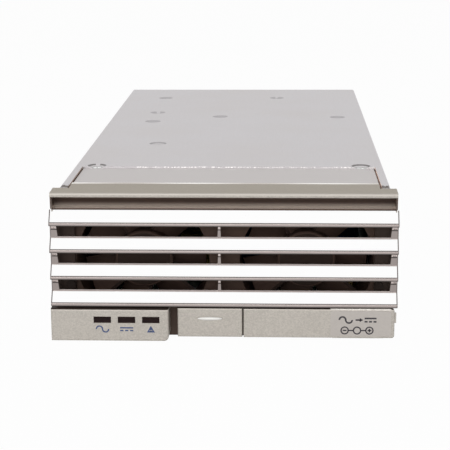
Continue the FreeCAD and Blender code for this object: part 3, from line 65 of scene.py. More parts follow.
# Boxes of the solids that finishes and added pieces are placed from
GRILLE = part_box("louvre_grille")
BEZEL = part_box("front_bezel")
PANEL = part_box("indicator_panel")
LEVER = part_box("ejector_lever")
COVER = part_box("top_cover")
FRONT = GRILLE[0].y
WINDOWS = ("input_lens", "output_lens", "alarm_lens")

# How much of a face's direction lies along an axis: 1 is square to the axis
LEVEL = 0.97
UPRIGHT = 0.96
HUB_FACE = 0.95
NEARLY_LEVEL = 0.9
TURNED = 0.8
SLANTED = 0.7
GLINTING = 0.53
TILTED = 0.3

# Grain per metre along x, y and z
FINE = (2500, 2500, 2500)
PRINTED = (2200, 2200, 2200)
MOULDED = (1600, 1600, 1600)
COARSE = (900, 900, 900)

# Strength of every relief, and how far a grained finish's roughness swings with its mottling
BUMP_STRENGTH = 0.6
GLOSS_SWING = 0.15


# Settings that a user would change

def colour_setting(name, description, value):
    return FloatVectorProperty(
        name=name, description=description, subtype="COLOR", min=0.0, max=1.0, default=value)


def length_setting(name, description, value):
    return FloatProperty(name=name, description=description, unit="LENGTH", min=0.0, default=value)


def power_setting(name, description, value):
    return FloatProperty(name=name, description=description, unit="POWER", min=0.0, default=value)


class CaseFinish(bpy.types.PropertyGroup):
    """Sheet metal and fasteners."""

    sheet: colour_setting("Sheet", "Plated sheet of cover, tray and rear panel", (0.588, 0.567, 0.578))
    sheet_warm: colour_setting("Warm sheet", "Warmer clouds in the plated sheet", (0.589, 0.558, 0.549))
    cut_edge: colour_setting("Cut edges", "Unplated edges in the slits of the cover", (0.42, 0.31, 0.25))
    # Painted light: the right slit's cut edges and the flange below it are lightened, standing in for light
    # that doesn't reach into the narrow slit.
    painted_slit_light: colour_setting(
        "Painted slit light", "Cut edges of the right slit and the flange below it", (0.95, 0.75, 0.65))
    skin_depth: length_setting(
        "Formed depth", "Depth below the cover's top that the formed details take", 1.15 * MM)
    # Painted shade: the plate is darker than plated sheet, for the shade it sits in behind the louvre.
    bracket: colour_setting("Bracket", "Dark plate that carries the fans", (0.085, 0.054, 0.042))
    steel: colour_setting("Bare steel", "Hinge bracket, pin, spring and straps", (0.56, 0.55, 0.53))
    screw: colour_setting("Screws", "Plated screw steel", (0.45, 0.44, 0.435))
    recess_depth: length_setting("Recess depth", "Depth of the cross recess in a screw head", 0.35 * MM)


class FrontFinish(bpy.types.PropertyGroup):
    """Paint, plating and marks of the front."""

    paint: colour_setting("Paint", "Metallic paint of lip, panel, latch and lever", (0.505, 0.47, 0.425))
    # Painted shade: the top of the lip is browner and darker than the paint elsewhere, for the weaker light
    # that reaches it.
    lip: colour_setting("Lip", "Browner cast of the paint on top of the lip", (0.50, 0.44, 0.355))
    # Painted light: the foot of the finger recess is given this light colour.
    recess: colour_setting(
        "Recess", "Paint low in the finger recess, where the light reaches it", (0.95, 0.83, 0.74))
    # Painted shade: this dark colour and lighter copies of it stand for the shade inside the front moulding,
    # in the recess, on the lower row's tops and round the windows.
    inside: colour_setting("Inside", "Dark inside of the front moulding", (0.050, 0.035, 0.029))
    inside_depth: length_setting(
        "Inside depth", "Depth behind the front from which the moulding is dark", 4.3 * MM)
    plating: colour_setting("Plating", "Bright plating of the louvre", (0.99, 0.99, 0.99))
    # Painted reflection: the upright edges of the slats are darker, for the dark room they reflect.
    slat_edge_reflection: colour_setting(
        "Slat edge", "Duller plating on the upright edges of the slats", (0.36, 0.315, 0.30))
    lens: colour_setting("Windows", "Smoked indicator windows", (0.018, 0.0105, 0.0105))
    mark: colour_setting("Marks", "Printed symbols under the windows", (0.05, 0.08, 0.19))
    stroke: length_setting("Stroke", "Line width of the printed symbols", 0.6 * MM)
    mark_rise: length_setting(
        "Mark height", "Middle of the printed symbols above the underside", 6.1 * MM)
    label_length: length_setting("Label length", "Length of the clear label on the lever", 25.4 * MM)
    fold_depth: length_setting(
        "Label fold", "How far the label runs back over the lever's top edge", 3.2 * MM)
    label_inset: length_setting("Label inset", "Label inside the lever's right end", 1.5 * MM)


class StudioLight(bpy.types.PropertyGroup):
    """Soft boxes and background."""

    key: power_setting("Key", "Power of the front soft box", 10.8)
    top: power_setting("Top", "Power of the overhead soft box", 0.8)
    side: power_setting("Sides", "Power of each side soft box", 3.0)
    ambient: FloatProperty(name="Ambient", description="Light from all round", min=0.0, default=0.22)
    floor_glow: FloatProperty(
        name="White floor", description="How far the floor is whitened for the camera",
        subtype="FACTOR", min=0.0, max=1.0, default=0.97)


# Node helpers

def lead(value, socket):
    """Join another socket to this one, or set its plain value; a colour comes without alpha."""
    if isinstance(value, bpy.types.NodeSocket):
        socket.id_data.links.new(value, socket)
    elif socket.type == "RGBA":
        socket.default_value = (*value, 1.0)
    else:
        socket.default_value = value


def feed(node, **values):
    """Lead sockets or plain values to a node's named inputs."""
    for name, value in values.items():
        lead(value, node.inputs[name.replace("_", " ")])


def add_node(tree, kind, settings=None, **values):
    """A node with its settings and what its inputs take."""
    node = tree.nodes.new(kind)
    for name, value in (settings or {}).items():
        setattr(node, name, value)
    feed(node, **values)
    return node


def tree_of(*values):
    """The node tree of the sockets among some values."""
    return next(value.id_data for value in values if isinstance(value, bpy.types.NodeSocket))


def shade(colour, factor):
    """A lighter or darker colour, within the range of a colour."""
    return tuple(min(1.0, channel * factor) for channel in colour)


def mix_colour(factor, first, second):
    """Colour between two colours or sockets."""
    node = add_node(tree_of(factor, first, second), "ShaderNodeMix", {"data_type": "RGBA"})
    # The colour sockets share their names with others, so they are found by number
    for index, value in ((0, factor), (6, first), (7, second)):
        lead(value, node.inputs[index])
    return node.outputs[2]


def vary(mask, colour, low, high):
    """One colour in two shades, by a mask."""
    return mix_colour(mask, shade(colour, low), shade(colour, high))


def calculate(operation, first, second=0.0):
    """One step of arithmetic on numbers or sockets."""
    node = add_node(tree_of(first, second), "ShaderNodeMath", {"operation": operation})
    lead(first, node.inputs[0])
    lead(second, node.inputs[1])
    return node.outputs[0]


def unsigned(value):
    """A value without its sign."""
    return calculate("ABSOLUTE", value)


def above(value, limit):
    """Mask: 1 where a value is over a limit."""
    return calculate("GREATER_THAN", value, limit)


def below(value, limit):
    """Mask: 1 where a value is under a limit."""
    return calculate("LESS_THAN", value, limit)


def between(value, low, high):
    """Mask: 1 where a value lies between two limits."""
    return calculate("MULTIPLY", above(value, low), below(value, high))


def all_of(*masks):
    """Mask: 1 where every mask is 1."""
    total = masks[0]
    for mask in masks[1:]:
        total = calculate("MULTIPLY", total, mask)
    return total


def either(first, second):
    """Mask: the higher of two masks."""
    return calculate("MAXIMUM", first, second)


def fade(value, start, end):
    """Mask: 0 at the start of a stretch, 1 at its end."""
    node = add_node(value.id_data, "ShaderNodeMapRange", Value=value, From_Min=start, From_Max=end)
    return node.outputs["Result"]


def spread(mask, low, high):
    """A mask from 0 to 1 laid over another range."""
    node = add_node(mask.id_data, "ShaderNodeMapRange", Value=mask, To_Min=low, To_Max=high)
    return node.outputs["Result"]


def place_axes(tree):
    """The three coordinates of a point on the piece."""
    point = add_node(tree, "ShaderNodeTexCoord")
    return add_node(tree, "ShaderNodeSeparateXYZ", Vector=point.outputs["Object"]).outputs


def normal_axes(tree):
    """The three parts of the surface's direction."""
    geometry = add_node(tree, "ShaderNodeNewGeometry")
    return add_node(tree, "ShaderNodeSeparateXYZ", Vector=geometry.outputs["Normal"]).outputs


def new_group(name, inputs, outputs):
    """An empty shader group with named number sockets."""
    group = bpy.data.node_groups.new(name, "ShaderNodeTree")
    for socket, value in inputs.items():
        item = group.interface.new_socket(name=socket, in_out="INPUT", socket_type="NodeSocketFloat")
        item.default_value = value
    for socket in outputs:
        group.interface.new_socket(name=socket, in_out="OUTPUT", socket_type="NodeSocketFloat")
    return group, group.nodes.new("NodeGroupInput"), group.nodes.new("NodeGroupOutput")


def surface_grain():
    """Group: fine grain that can be drawn out along an axis, and broad mottling."""
    if "surface_grain" in bpy.data.node_groups:
        return bpy.data.node_groups["surface_grain"]
    inputs = {"Grain X": 1500.0, "Grain Y": 1500.0, "Grain Z": 1500.0, "Mottle": 35.0}
    group, entry, leave = new_group("surface_grain", inputs, ["Grain", "Mottle"])
    point = add_node(group, "ShaderNodeTexCoord").outputs["Object"]
    scales = {axis: entry.outputs["Grain " + axis] for axis in "XYZ"}
    stretch = add_node(group, "ShaderNodeCombineXYZ", **scales)
    scaled = add_node(group, "ShaderNodeVectorMath", {"operation": "MULTIPLY"})
    lead(point, scaled.inputs[0])
    lead(stretch.outputs[0], scaled.inputs[1])
    fine = add_node(group, "ShaderNodeTexNoise", Vector=scaled.outputs[0], Scale=1.0, Detail=2.0)
    broad = add_node(group, "ShaderNodeTexNoise", Vector=point, Scale=entry.outputs["Mottle"], Detail=3.0)
    feed(leave, Grain=fine.outputs["Fac"], Mottle=broad.outputs["Fac"])
    return group


def grain_masks(tree, along_x, along_y, along_z, mottle=35.0):
    """Masks of the fine grain and of the broad mottling."""
    detail = add_node(tree, "ShaderNodeGroup", {"node_tree": surface_grain()},
                      Grain_X=along_x, Grain_Y=along_y, Grain_Z=along_z, Mottle=mottle)
    return detail.outputs["Grain"], detail.outputs["Mottle"]


def metal_fleck():
    """Group: flakes of a metallic paint as bright and dark cells."""
    if "metal_fleck" in bpy.data.node_groups:
        return bpy.data.node_groups["metal_fleck"]
    group, entry, leave = new_group("metal_fleck", {"Scale": 2600.0}, ["Fleck"])
    point = add_node(group, "ShaderNodeTexCoord").outputs["Object"]
    cells = add_node(group, "ShaderNodeTexVoronoi", Vector=point, Scale=entry.outputs["Scale"])
    split = add_node(group, "ShaderNodeSeparateColor", Color=cells.outputs["Color"])
    feed(leave, Fleck=split.outputs[0])
    return group


def new_material(name, **values):
    """A material, its node tree and its shader with plain values."""
    material = bpy.data.materials.new(name)
    material.use_nodes = True
    tree = material.node_tree
    shader = tree.nodes["Principled BSDF"]
    feed(shader, **values)
    return material, tree, shader


def raise_bump(shader, height, depth):
    """Surface relief of a real depth in metres."""
    bump = add_node(shader.id_data, "ShaderNodeBump", Strength=BUMP_STRENGTH, Distance=depth, Height=height)
    feed(shader, Normal=bump.outputs["Normal"])


def grained_finish(name, colour, metallic, roughness, grain, contrast=0.10, depth=0.02 * MM, gloss=0.5):
    """A finish with drawn or moulded grain, mottled in colour and gloss."""
    material, tree, shader = new_material(name, Metallic=metallic, Specular_IOR_Level=gloss)
    fine, broad = grain_masks(tree, *grain)
    share = calculate("MULTIPLY", calculate("ADD", fine, broad), 0.5)
    wear_and_shade = spread(broad, roughness * (1 - GLOSS_SWING), min(1.0, roughness * (1 + GLOSS_SWING)))
    feed(shader, Base_Color=vary(share, colour, 1 - contrast, 1 + contrast), Roughness=wear_and_shade)
    raise_bump(shader, fine, depth)
    return material


def touch_up(tree, mask, colour):
    """Another colour on the part of a finish that a mask covers."""
    base = tree.nodes["Principled BSDF"].inputs["Base Color"]
    lead(mix_colour(mask, base.links[0].from_socket, colour), base)


def dress(material, *nodes):
    """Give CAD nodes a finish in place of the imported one."""
    for node in nodes:
        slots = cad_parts[node].data.materials
        slots.clear()
        slots.append(material)


def coat(name, colour, metallic, roughness, grain, *nodes, **detail):
    """Give CAD nodes a grained finish of their own."""
    dress(grained_finish(name, colour, metallic, roughness, grain, **detail), *nodes)


# Sheet of the case: painted shade, painted highlights and bare cut edges, placed from the cover's top, sides
# and front edge

SIDE_BEND = 3.0 * MM
STEP_DROP = 0.5 * MM
DIMPLE_RIM = 0.55 * MM
DIMPLE_NEAR = 50.0 * MM
DIMPLE_WHOLE = 125.0 * MM
DIMPLE_FAR = 130.0 * MM
TONGUE_STEP = 20.0 * MM
SPARKLE_LEFT = -42.0 * MM
SPARKLE_GRAIN = 0.54
CORNER_SHADE_WIDTH = 6.0 * MM
CORNER_SHADE_REACH = 9.0 * MM
CORNER_SHADE_START = 0.2 * MM
FLANGE_DROP = 3.0 * MM
STEP_SPARKLE = (0.80, 0.78, 0.765)
SHEET_RELIEF = 0.006 * MM


def case_sheet(settings):
    """Plated sheet: rolling grain, painted shade in the dimples, painted sparkle on a step, bare cut edges
    in the slits with painted light in the right one, and painted shadow at the front corners.
    """
    material, tree, shader = new_material("case_sheet", Metallic=0.75)
    top, side, front = COVER[1].z, COVER[1].x, COVER[0].y
    grain, clouds = grain_masks(tree, 2400.0, 120.0, 2400.0, 22.0)
    sparkle_noise, ragged_noise = grain_masks(tree, 1700.0, 900.0, 900.0, 450.0)
    x, y, z = place_axes(tree)
    slope_x, slope_y, slope_z = normal_axes(tree)
    outward = unsigned(x)
    skin = above(z, top - settings.skin_depth)
    formed = all_of(skin, below(outward, side - SIDE_BEND))

    warm = calculate("MULTIPLY", fade(clouds, 0.35, 0.75), 0.5)
    tint = mix_colour(warm, vary(grain, settings.sheet, 0.96, 1.04), settings.sheet_warm)
    sunk = all_of(formed, below(z, top - STEP_DROP), above(slope_z, LEVEL))
    tint = mix_colour(sunk, tint, shade(settings.sheet_warm, 0.94))

    # Painted shade: the dimples' upper walls are darkened, most near the front, for the dark they reflect; a
    # painted glint leaves some of them light in the middle.
    shown = either(above(z, top - DIMPLE_RIM), above(y, front + DIMPLE_WHOLE))
    dimple = all_of(formed, between(slope_z, TILTED, LEVEL), shown)
    far = fade(y, front + DIMPLE_NEAR, front + DIMPLE_FAR)
    wear_and_shade = mix_colour(far, shade(settings.sheet_warm, 0.36), shade(settings.sheet, 0.78))
    tint = mix_colour(dimple, tint, wear_and_shade)
    glint = all_of(dimple, below(slope_y, -GLINTING), above(clouds, 0.5))
    tint = mix_colour(glint, tint, settings.sheet)

    # Cut edges in the slits: unplated brown on the left, and on the right a light colour, a painted light
    # for the shade in the slit.
    bare = all_of(formed, above(unsigned(slope_x), TURNED))
    slit_edge = mix_colour(above(x, 0.0), settings.cut_edge, settings.painted_slit_light)
    tint = mix_colour(bare, tint, slit_edge)

    step = all_of(skin, below(slope_y, -TURNED), above(y, front + TONGUE_STEP))
    tint = mix_colour(step, tint, shade(settings.sheet, 0.8))
    # Painted highlight: bright specks along the tongue's step, where it catches the light.
    sparkle = all_of(step, above(sparkle_noise, SPARKLE_GRAIN), above(x, SPARKLE_LEFT), above(z, top - STEP_DROP))
    tint = mix_colour(sparkle, tint, STEP_SPARKLE)

    # Painted shadow: a ragged dark band at the cover's front corners stands for the shade of the gap where
    # the cover meets the lip.
    jagged = calculate("SUBTRACT", y, calculate("MULTIPLY", ragged_noise, CORNER_SHADE_REACH))
    corner_gap_shade = all_of(skin, above(slope_z, NEARLY_LEVEL), above(outward, side - CORNER_SHADE_WIDTH),
                  below(jagged, front - CORNER_SHADE_START))
    tint = mix_colour(corner_gap_shade, tint, shade(settings.cut_edge, 0.2))
    feed(shader, Base_Color=tint, Roughness=spread(clouds, 0.42, 0.56))
    raise_bump(shader, grain, SHEET_RELIEF)
    return material


def bracket_sheet(settings):
    """Dark plate that carries the fans, with painted light along the top flange that shows in the cover's
    slits.
    """
    # The plate's dark brown is a painted shade for the gloom behind the louvre.
    material = grained_finish("bracket_sheet", settings.bracket, 0.0, 0.6, (1500, 200, 1500), gloss=0.1)
    tree = material.node_tree
    # Painted light on the top flange where it shows through the slits, standing in for light the slits keep
    # out.
    high = above(place_axes(tree)[2], COVER[1].z - FLANGE_DROP)
    flange = all_of(above(normal_axes(tree)[2], NEARLY_LEVEL), high)
    touch_up(tree, flange, settings.painted_slit_light)
    return material


# Paint of the front

CLOUD_SHARE = 0.35
FLAKE_RELIEF = 0.004 * MM
PAINT_GLOSS = 0.1

# Lower row: bands from the top of the lever and from the front, and edges round the windows
ROW_RIM = 0.55 * MM
ROW_TOP = 0.4 * MM
ROW_FACE = 0.5 * MM
RIB_RISE = 0.05 * MM
WINDOW_SIDE = 0.75 * MM
WINDOW_FOOT = 0.5 * MM
WINDOW_HEAD = 0.6 * MM
THUMB_HIGHLIGHT = (0.80, 0.79, 0.76)

# Lip: depths from its front or back edge, drops from its top, widths from its ends
FRONT_EDGE_DEPTH = 0.75 * MM
FRONT_EDGE_DROP = 1.45 * MM
BACK_EDGE_DEPTH = 2.0 * MM
BACK_EDGE_DROP = 0.5 * MM
LIP_SKIN = 1.0 * MM
LIP_TOP_SHADE = 0.6
LIP_END = 0.2 * MM
RECESS_DEPTH = 2.0 * MM
RECESS_DROP = 2.7 * MM
LIGHT_FROM = 6.0 * MM
LIGHT_FULL = 8.4 * MM
LIGHT_CURVE = 1.8
SILL_DEPTH = 4.6 * MM
SILL_DROP = 7.75 * MM
CHEEK_WIDTH = 1.9 * MM
CHEEK_DROP = 2.4 * MM

# Metallic back edge of the lip, with a painted highlight that breaks in waves of this length
BACK_GLEAM_LENGTH = 57.0 * MM
BACK_GLEAM_SHIFT = 13.0 * MM
BACK_GLEAM_LOW = (0.53, 0.48, 0.43)
BACK_GLEAM_HIGH = (0.92, 0.90, 0.85)


def flaked_paint(tree, settings):
    """Colour and flake mask of the fine metallic paint."""
    flakes = add_node(tree, "ShaderNodeGroup", {"node_tree": metal_fleck()}, Scale=2100.0)
    fleck = flakes.outputs["Fleck"]
    clouds = grain_masks(tree, *COARSE, 45.0)[1]
    flaked = vary(fleck, settings.paint, 0.85, 1.15)
    clouded = vary(clouds, settings.paint, 0.94, 1.06)
    return mix_colour(CLOUD_SHARE, flaked, clouded), fleck


def bezel_paint(settings):
    """Fine metallic paint of the lower row, with painted highlights on the front's top edge and the thumb
    rib, and painted shade on the tops and round the windows.
    """
    material, tree, shader = new_material("bezel_paint", Roughness=0.5, Specular_IOR_Level=PAINT_GLOSS)
    paint, fleck = flaked_paint(tree, settings)
    x, y, z = place_axes(tree)
    row_top = LEVER[1].z
    front = below(y, FRONT + ROW_FACE)
    # Painted highlight along the top of the lower row's front faces, where a small bevel catches the light.
    rim = all_of(front, above(z, row_top - ROW_RIM))
    tint = mix_colour(rim, paint, shade(settings.paint, 1.16))
    # Painted shade on the tops of the lower row, which lie in a narrow gap under the louvre.
    row_top_shade_and_edge_gloss = all_of(above(normal_axes(tree)[2], SLANTED), above(z, row_top - ROW_TOP))
    tint = mix_colour(row_top_shade_and_edge_gloss, tint, settings.inside)
    # Painted shade: a dark border round each window, for the shadow gap at its edge.
    for window in WINDOWS:
        low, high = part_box(window)
        across = between(x, low.x + WINDOW_SIDE, high.x - WINDOW_SIDE)
        upward = between(z, low.z + WINDOW_FOOT, high.z - WINDOW_HEAD)
        tint = mix_colour(all_of(front, across, upward), tint, shade(settings.inside, 0.9))
    # Painted highlight on the raised thumb rib of the latch.
    thumb = all_of(below(y, FRONT - RIB_RISE), above(x, PANEL[1].x))
    tint = mix_colour(thumb, tint, THUMB_HIGHLIGHT)
    feed(shader, Base_Color=tint, Metallic=spread(fleck, 0.20, 0.30))
    raise_bump(shader, fleck, FLAKE_RELIEF)
    return material


def lip_paint(settings):
    """The same paint on the lip: browner and darker on top as painted shade, a painted highlight on its
    front edge, painted shade and light in the recess, painted shade inside, and a metallic back edge with a
    painted broken highlight.
    """
    material, tree, shader = new_material("lip_paint", Specular_IOR_Level=PAINT_GLOSS)
    paint, fleck = flaked_paint(tree, settings)
    x, y, z = place_axes(tree)
    _, slope_y, slope_z = normal_axes(tree)
    outward = unsigned(x)
    front, back = BEZEL[0].y, BEZEL[1].y
    end, top = BEZEL[1].x, BEZEL[1].z
    within = below(outward, end - LIP_END)

    # Painted shade on the lip's top, for the weaker light that reaches it.
    upward = all_of(above(slope_z, NEARLY_LEVEL), above(z, top - LIP_SKIN))
    tint = mix_colour(calculate("MULTIPLY", upward, LIP_TOP_SHADE), paint, settings.lip)
    # Painted highlight: the rounded front edge of the lip is lightened where it catches the light.
    front_edge = all_of(below(y, front + FRONT_EDGE_DEPTH), above(z, top - FRONT_EDGE_DROP))
    tint = mix_colour(front_edge, tint, shade(settings.paint, 1.15))

    # Painted shade and light in the finger recess: dark under the lip, lightened towards its foot where the
    # light reaches, with a painted shade line along the sill's front.
    recess = all_of(within, above(y, front + RECESS_DEPTH), below(z, top - RECESS_DROP))
    lit = calculate("POWER", fade(z, top - LIGHT_FROM, top - LIGHT_FULL), LIGHT_CURVE)
    lit = either(lit, above(slope_z, LEVEL))
    hollow = mix_colour(lit, shade(settings.inside, 2.2), settings.recess)
    tint = mix_colour(recess, tint, hollow)
    sill_front = all_of(recess, below(y, FRONT + SILL_DEPTH), below(z, top - SILL_DROP))
    tint = mix_colour(sill_front, tint, shade(settings.inside, 3.1))

    # Painted shade inside the moulding behind the louvre, less dark on the wall behind the lower row, and on
    # the fronts of the cheeks beside the recess.
    inside = all_of(within, above(y, FRONT + settings.inside_depth), below(z, GRILLE[1].z))
    tint = mix_colour(inside, tint, settings.inside)
    row = all_of(inside, below(z, GRILLE[0].z))
    tint = mix_colour(row, tint, shade(settings.inside, 1.75))
    cheek = all_of(above(outward, end - CHEEK_WIDTH), below(slope_y, -SLANTED), below(z, top - CHEEK_DROP))
    tint = mix_colour(cheek, tint, shade(settings.inside, 2.5))

    # Painted highlight: the lip's back edge is metallic and its colour swings between dull and bright in
    # waves, for a broken line of light.
    back_edge = all_of(above(y, back - BACK_EDGE_DEPTH), above(z, top - BACK_EDGE_DROP))
    turns = calculate("MULTIPLY", calculate("ADD", x, BACK_GLEAM_SHIFT), 2 * math.pi / BACK_GLEAM_LENGTH)
    wave = fade(calculate("COSINE", turns), -1.0, 1.0)
    tint = mix_colour(back_edge, tint, mix_colour(wave, BACK_GLEAM_LOW, BACK_GLEAM_HIGH))
    row_top_shade_and_edge_gloss = spread(back_edge, 0.5, 0.22)
    feed(shader, Base_Color=tint, Metallic=spread(back_edge, 0.25, 0.9), Roughness=row_top_shade_and_edge_gloss)
    raise_bump(shader, fleck, FLAKE_RELIEF)
    return material


# Plating of the louvre: depths from the front, widths from its ends and middle, heights at a slat's edge

SLAT_FACE = 0.3 * MM
SLAT_END = 0.45 * MM
SLAT_PITCH_LEAST = 5.0 * MM
EDGE_PLANE = 0.05 * MM
TOP_FRAME = 2.0 * MM
MIDDLE_RIB = 4.0 * MM
END_RIB = 8.0 * MM
ARRIS_BELOW = 0.1 * MM
ARRIS_ABOVE = 0.36 * MM
CAP_HEIGHT = 1.8 * MM
GROOVE_HEIGHT = 0.5 * MM
PLATING_RELIEF = 0.004 * MM


def slat_edges():
    """Heights of the slats' lower front edges."""
    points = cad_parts["louvre_grille"].data.vertices
    heights = sorted(point.co.z for point in points if point.co.y < FRONT + EDGE_PLANE)
    return [high for low, high in zip([0.0, *heights], heights) if high - low > SLAT_PITCH_LEAST]


def bright_plating(settings):
    """Mirror plating: satin slat edges and beads, the edges with a painted darker reflection, painted shade
    at the slat ends and lower arrises, and ribs with a painted highlight cap over a painted groove line.
    """
    material, tree, shader = new_material("bright_plating")
    edge = settings.slat_edge_reflection
    streaks, clouds = grain_masks(tree, 60.0, 700.0, 700.0, 60.0)
    x, y, z = place_axes(tree)
    _, slope_y, slope_z = normal_axes(tree)
    outward = unsigned(x)
    # Painted reflection: the upright edges of the slats take a darker colour, for the dark room they
    # reflect.
    upright = below(slope_y, -UPRIGHT)
    face = mix_colour(clouds, shade(settings.plating, 0.98), settings.plating)
    tint = mix_colour(upright, face, vary(streaks, edge, 0.85, 1.15))
    bead = all_of(above(slope_z, SLANTED), below(z, GRILLE[1].z - TOP_FRAME))
    tint = mix_colour(bead, tint, shade(edge, 2.2))

    # The ribs' fronts carry the painted reflection a little darker.
    ribs = either(below(outward, MIDDLE_RIB), above(outward, GRILLE[1].x - END_RIB))
    rib = all_of(upright, above(y, FRONT + SLAT_FACE), ribs)
    tint = mix_colour(rib, tint, shade(edge, 0.77))
    for height in slat_edges():
        # Painted shade along the lower arris of each slat's edge.
        arris = all_of(upright, between(z, height - ARRIS_BELOW, height + ARRIS_ABOVE))
        tint = mix_colour(arris, tint, shade(edge, 0.25))
        # Painted highlight on a cap across the ribs, over a painted shade line standing for a groove below
        # it.
        cap_foot = height - CAP_HEIGHT
        cap_highlight = all_of(rib, between(z, cap_foot, height))
        tint = mix_colour(cap_highlight, tint, shade(edge, 1.3))
        groove_shade = all_of(rib, between(z, cap_foot - GROOVE_HEIGHT, cap_foot))
        tint = mix_colour(groove_shade, tint, shade(edge, 0.15))

    # Painted shade: a thin dark line where the slat faces meet their upright edges, and at the slats' ends.
    crease = all_of(below(y, FRONT + SLAT_FACE), calculate("SUBTRACT", 1.0, upright))
    dark = either(crease, above(outward, GRILLE[1].x - SLAT_END))
    tint = mix_colour(dark, tint, shade(edge, 0.5))
    satin = either(upright, bead)
    feed(shader, Base_Color=tint, Metallic=spread(bead, 1.0, 0.15), Roughness=spread(satin, 0.06, 0.35))
    raise_bump(shader, clouds, PLATING_RELIEF)
    return material


# Other finishes

DENT_DEPTH = 0.25 * MM
MOULD_RELIEF = 0.03 * MM


def crinkled_steel(settings):
    """Thin bare strip with small dents that catch the light."""
    material, tree, shader = new_material("crinkled_steel", Metallic=0.9)
    grain, dents = grain_masks(tree, 700.0, 900.0, 900.0, 240.0)
    tint = vary(grain, settings.steel, 0.7, 1.4)
    feed(shader, Base_Color=tint, Roughness=spread(dents, 0.18, 0.42))
    raise_bump(shader, dents, DENT_DEPTH)
    return material


def smoked_lens(settings):
    """Dark clear plastic with faint moulding streaks."""
    material, tree, shader = new_material("smoked_lens", Specular_IOR_Level=0.05)
    streaks, clouds = grain_masks(tree, 500.0, 500.0, 1500.0, 150.0)
    tint = vary(streaks, settings.lens, 0.6, 1.5)
    feed(shader, Base_Color=tint, Roughness=spread(clouds, 0.25, 0.4))
    return material


def rotor_plastic(colour):
    """Moulded plastic of the fan rotors, darker on the flat front of the hubs."""
    material = grained_finish("fan_rotor_plastic", colour, 0.0, 0.6, MOULDED, 0.25, MOULD_RELIEF, 0.1)
    tree = material.node_tree
    # Painted shade: the flat hub fronts face the lamps and are darkened to the tone of the shade around
    # them.
    hub = below(normal_axes(tree)[1], -HUB_FACE)
    touch_up(tree, hub, shade(colour, 0.4))
    return material


# Mesh helpers

def verts_of(items):
    """The vertices among the pieces of mesh that an operator made."""
    return [item for item in items if isinstance(item, bmesh.types.BMVert)]


def new_piece(name, shape, body, material):
    """Turn a finished shape into a piece that rides on a body."""
    bmesh.ops.remove_doubles(shape, verts=shape.verts, dist=WELD)
    bmesh.ops.recalc_face_normals(shape, faces=shape.faces)
    mesh = bpy.data.meshes.new(name)
    shape.to_mesh(mesh)
    shape.free()
    mesh.materials.append(material)
    piece = bpy.data.objects.new(name, mesh)
    bpy.context.scene.collection.objects.link(piece)
    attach(piece, body)
    return piece


def solid_boxes(node):
    """Lowest and highest corner of every separate solid in a CAD node."""
    shape = bmesh.new()
    shape.from_mesh(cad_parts[node].data)
    bmesh.ops.remove_doubles(shape, verts=shape.verts, dist=WELD)
    waiting = set(shape.verts)
    boxes = []
    while waiting:
        reached = [waiting.pop()]
        points = []
        while reached:
            vertex = reached.pop()
            points.append(vertex.co.copy())
            for edge in vertex.link_edges:
                other = edge.other_vert(vertex)
                if other in waiting:
                    waiting.remove(other)
                    reached.append(other)
        boxes.append((Vector(map(min, zip(*points))), Vector(map(max, zip(*points)))))
    shape.free()
    return sorted(boxes, key=lambda box: tuple(box[0]))


def bearing(vertex):
    """Angle of a point round the z axis, from 0 to a full turn."""
    return round(math.atan2(vertex.co.y, vertex.co.x), 4) % round(2 * math.pi, 4)


# Screws: shares of a head's radius, and heights along the screw
CROSS_REACH = 0.58
CROSS_NARROWING = 0.62
CROSS_TAPER = 0.72
SHANK_SHARE = 0.53
CROWN_SHARE = 0.8
CONE_HEIGHT = 1.2 * MM
CROWN_HEIGHT = 0.35 * MM
HEAD_HEIGHT = 1.1 * MM


def recessed_screw(shape, head_radius, steps, recess_depth):
    """A screw along z with a cross recess; steps are (radius, drop) rings from the head's rim down."""
    arm = head_radius * CROSS_REACH
    grid = bmesh.ops.create_grid(shape, x_segments=3, y_segments=3, size=arm)["verts"]
    # The inner lines of the grid close in and leave the arms of the cross between them
    for vertex in grid:
        for axis in (0, 1):
            if abs(vertex.co[axis]) < arm * 0.5:
                vertex.co[axis] *= CROSS_NARROWING
    cross = [face for face in shape.faces if min(map(abs, face.calc_center_median()[:2])) < arm * 0.2]
    outline = [edge for edge in shape.edges if edge.is_boundary]
    bmesh.ops.subdivide_edges(shape, edges=outline, cuts=1)
    outline = [edge for edge in shape.edges if edge.is_boundary]
    ring = bmesh.ops.create_circle(shape, segments=len(outline), radius=head_radius)["verts"]
    rim = list({edge for vertex in ring for edge in vertex.link_edges})
    inner = sorted({vertex for edge in outline for vertex in edge.verts}, key=bearing)
    outer = sorted(ring, key=bearing)
    for first, second in zip(range(-1, len(outer) - 1), range(len(outer))):
        shape.faces.new((inner[first], outer[first], outer[second], inner[second]))
    floor = verts_of(bmesh.ops.extrude_face_region(shape, geom=cross)["geom"])
    bmesh.ops.delete(shape, geom=cross, context="FACES")
    bmesh.ops.translate(shape, vec=(0.0, 0.0, -recess_depth), verts=floor)
    bmesh.ops.scale(shape, vec=(CROSS_TAPER, CROSS_TAPER, 1.0), verts=floor)
    radius = head_radius
    for next_radius, drop in steps:
        grown = bmesh.ops.extrude_edge_only(shape, edges=rim)["geom"]
        verts = verts_of(grown)
        bmesh.ops.translate(shape, vec=(0.0, 0.0, -drop), verts=verts)
        bmesh.ops.scale(shape, vec=(next_radius / radius, next_radius / radius, 1.0), verts=verts)
        rim = [item for item in grown if isinstance(item, bmesh.types.BMEdge)]
        radius = next_radius
    bmesh.ops.holes_fill(shape, edges=rim)


